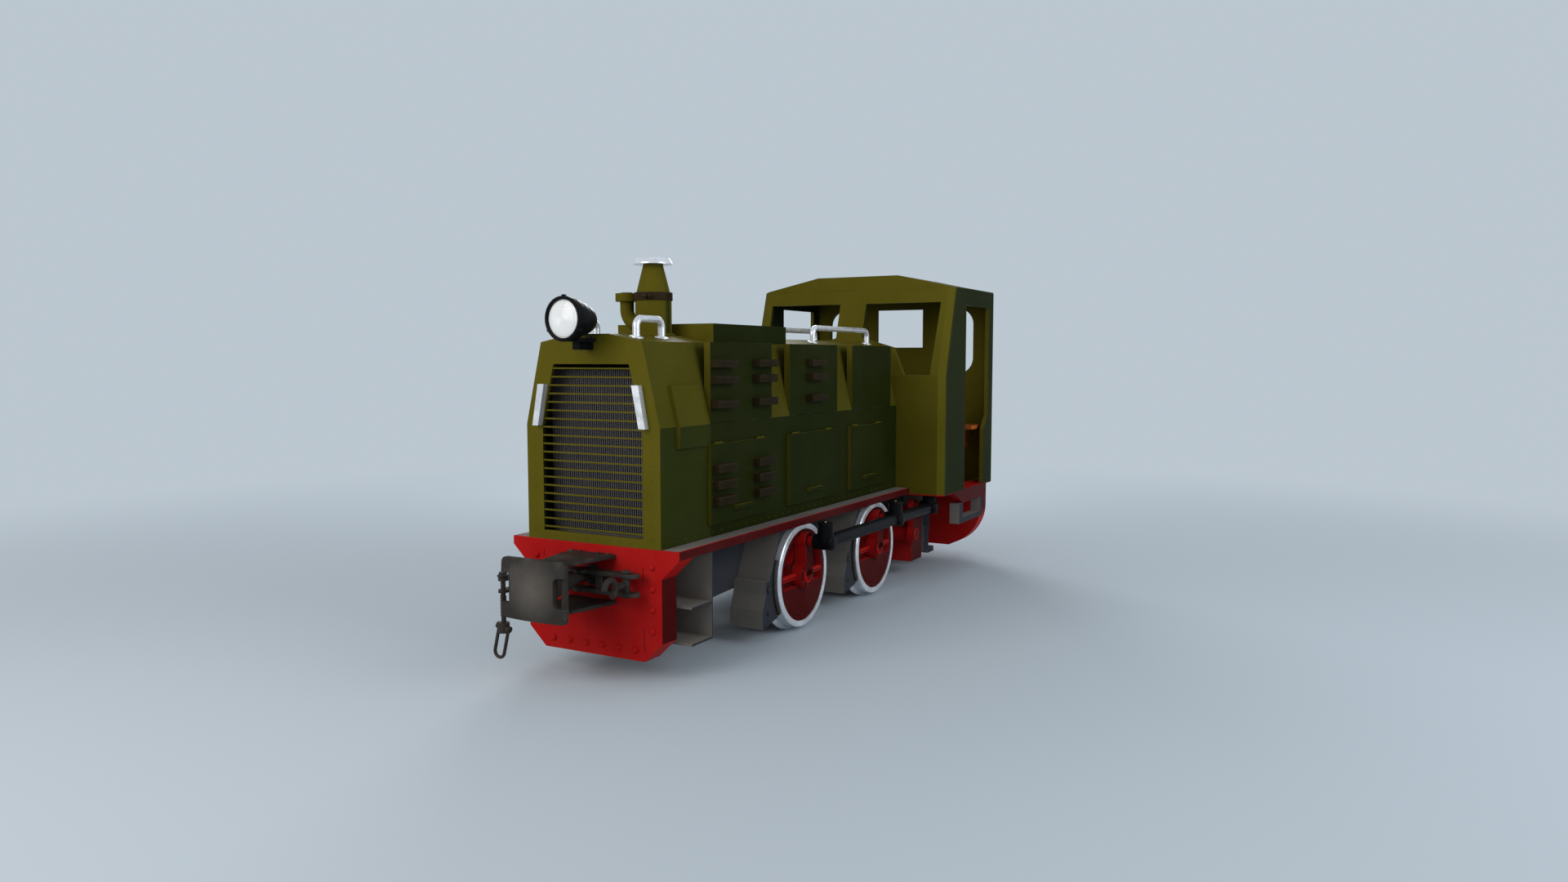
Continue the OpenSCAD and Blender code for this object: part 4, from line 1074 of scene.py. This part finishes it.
def desk_levers():
    """Marks and a hand on each gauge, and the two levers with their knobs and feet."""
    marks, first_mark, mark_step, hand = 9, 225, 33.75, 150
    bm = bmesh.new()
    for y, z, r in GAUGES:
        at = Vector((DESK_FACE - 0.003, y, DECK + z))
        for i in range(marks):
            way = dial_way(first_mark - mark_step * i)
            add_rod(bm, at + (r - 0.022) * way, at + (r - 0.014) * way, 0.0015, sides=6)
        root = at - 0.001 * X
        add_rod(bm, root, root + (r - 0.018) * dial_way(hand), 0.0016, sides=6)
        add_rod(bm, at + 0.001 * X, at - 0.003 * X, 0.004, sides=12)
    for y, lean, tall in LEVERS:
        foot = Vector((DESK_FACE + 0.07, y, DESK_TOP))
        tip = foot + Vector((-0.05, lean, tall))
        add_rod(bm, foot, tip, 0.008, 0.006, 14)
        add_turned(bm, [(0, -0.018), (0.014, -0.012), (0.018, 0.0), (0.013, 0.013), (0, 0.018)],
                   tip, Z, 20)
        add_block(bm, foot + Vector((-0.04, -0.016, -0.001)),
                  foot + Vector((0.04, 0.016, 0.008)), 0.002)
    finish_piece(bm, "desk_levers", "black_enamel")


def brake_wheel():
    """The hand brake: a column from the floor with a four-spoke wheel on top."""
    wheel_r, steps, spokes = 0.15, 48, 4
    bm = bmesh.new()
    centre = Vector((DESK_FACE - 0.10, -0.30, DECK + 0.72))
    foot = Vector((centre.x, centre.y, CAB_FLOOR))
    add_rod(bm, foot, centre + 0.01 * Z, 0.018, sides=20)
    add_turned(bm, [(0.05, 0.0), (0.05, 0.012), (0.02, 0.02), (0.02, 0.0)], foot, Z, 28)
    rings = []
    for i in range(steps):
        turn = 2 * math.pi * i / steps
        place = Matrix.Translation(centre + wheel_r * on_circle(turn, X, Y))
        rings.append(add_ring(bm, place @ turn_to(on_circle(turn, Y, -X)), 0.011, 10))
    for i, first in enumerate(rings):
        bmesh.ops.bridge_loops(bm, edges=first + rings[(i + 1) % steps])
    for i in range(spokes):
        rim = centre + 0.145 * on_circle(2 * math.pi * i / spokes + 0.4, X, Y)
        add_rod(bm, centre, rim, 0.009, 0.007, 12)
    add_turned(bm, [(0, -0.02), (0.03, -0.016), (0.032, 0.0), (0.024, 0.016), (0, 0.02)],
               centre, Z, 24)
    finish_piece(bm, "brake_wheel", "red_paint")


def cab_trim():
    """Rain strips over the windows and doorways, and wall rivets."""
    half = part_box("cab_left_side")[1].y
    wall_top = DECK + 1.715
    bm = bmesh.new()
    for side in SIDES:
        add_block(bm, (REAR_X + 0.02, side * half - 0.003, wall_top - 0.004),
                  (CAB_X - 0.30, side * half + 0.003, wall_top + 0.008), 0.001)
        for i in range(12):
            for pitch, z in ((0.088, DECK + 0.005), (0.082, wall_top - 0.045)):
                spot = (REAR_X + 0.05 + pitch * i, side * half, z)
                add_dome(bm, spot, side * Y, 0.006, 0.003)
    finish_piece(bm, "cab_rain_strips", "green_paint")
    bm = bmesh.new()
    for y in (-0.75, -0.45, -0.15, 0.15, 0.45, 0.75):
        for z in (DECK, wall_top - 0.05):
            add_dome(bm, (REAR_X, y, z), -X, 0.006, 0.004)
    finish_piece(bm, "cab_rear_rivets", "olive_paint")


def door_rails():
    """Grab rails beside each doorway, inside the wall's edge."""
    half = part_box("cab_left_side")[0].y
    bm = bmesh.new()
    x = CAB_X - 0.50
    for side in SIDES:
        y = side * (half - 0.045)
        low, high = DECK + 0.55, DECK + 1.25
        points = [Vector((x, side * half, low)), Vector((x, y + side * 0.012, low))]
        points += [Vector((x, y, low + 0.02)), Vector((x, y, high - 0.02))]
        points += [Vector((x, y + side * 0.012, high)), Vector((x, side * half, high))]
        add_tube(bm, points, 0.011, 12)
    finish_piece(bm, "door_rails", "polished_steel")


def sandbox_lids():
    """Lids with their hinge rods on the sandboxes."""
    low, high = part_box("sandboxes")
    inner = TYRE_FACE - 0.279
    bm = bmesh.new()
    for side in SIDES:
        y0, y1 = sorted((side * inner, side * high.y))
        add_block(bm, (low.x - 0.006, y0 + 0.004, high.z - 0.004),
                  (high.x + 0.006, y1, high.z + 0.012), 0.004)
        hinge = Vector((0, side * (inner + 0.01), high.z + 0.014))
        add_rod(bm, hinge + (low.x + 0.03) * X, hinge + (high.x - 0.03) * X, 0.007, sides=12)
    finish_piece(bm, "sandbox_lids", "red_paint")


headstock_rivets()
headstock_seams()
guide_bolts()
screw_thread(1, "front_lever")
screw_thread(-1, "rear_lever")
pin_heads(1, "front_lever")
pin_heads(-1, "rear_lever")
buffer_collars()
lamp_lens()
lamp_fittings()
stack_fittings()
radiator_tubes()
handrail_feet()
flap_louvres("left_flap_1", 1)
flap_louvres("right_flap_1", -1)
hood_rivets()
louvre_faces()
wheel_fittings("front_wheelset", AXLES[0])
wheel_fittings("rear_wheelset", AXLES[1])
rod_fittings("left")
rod_fittings("right")
brake_shoes()
jackshaft_fittings()
engine_block()
gauge_rims()
gauge_faces()
desk_levers()
brake_wheel()
cab_trim()
door_rails()
sandbox_lids()
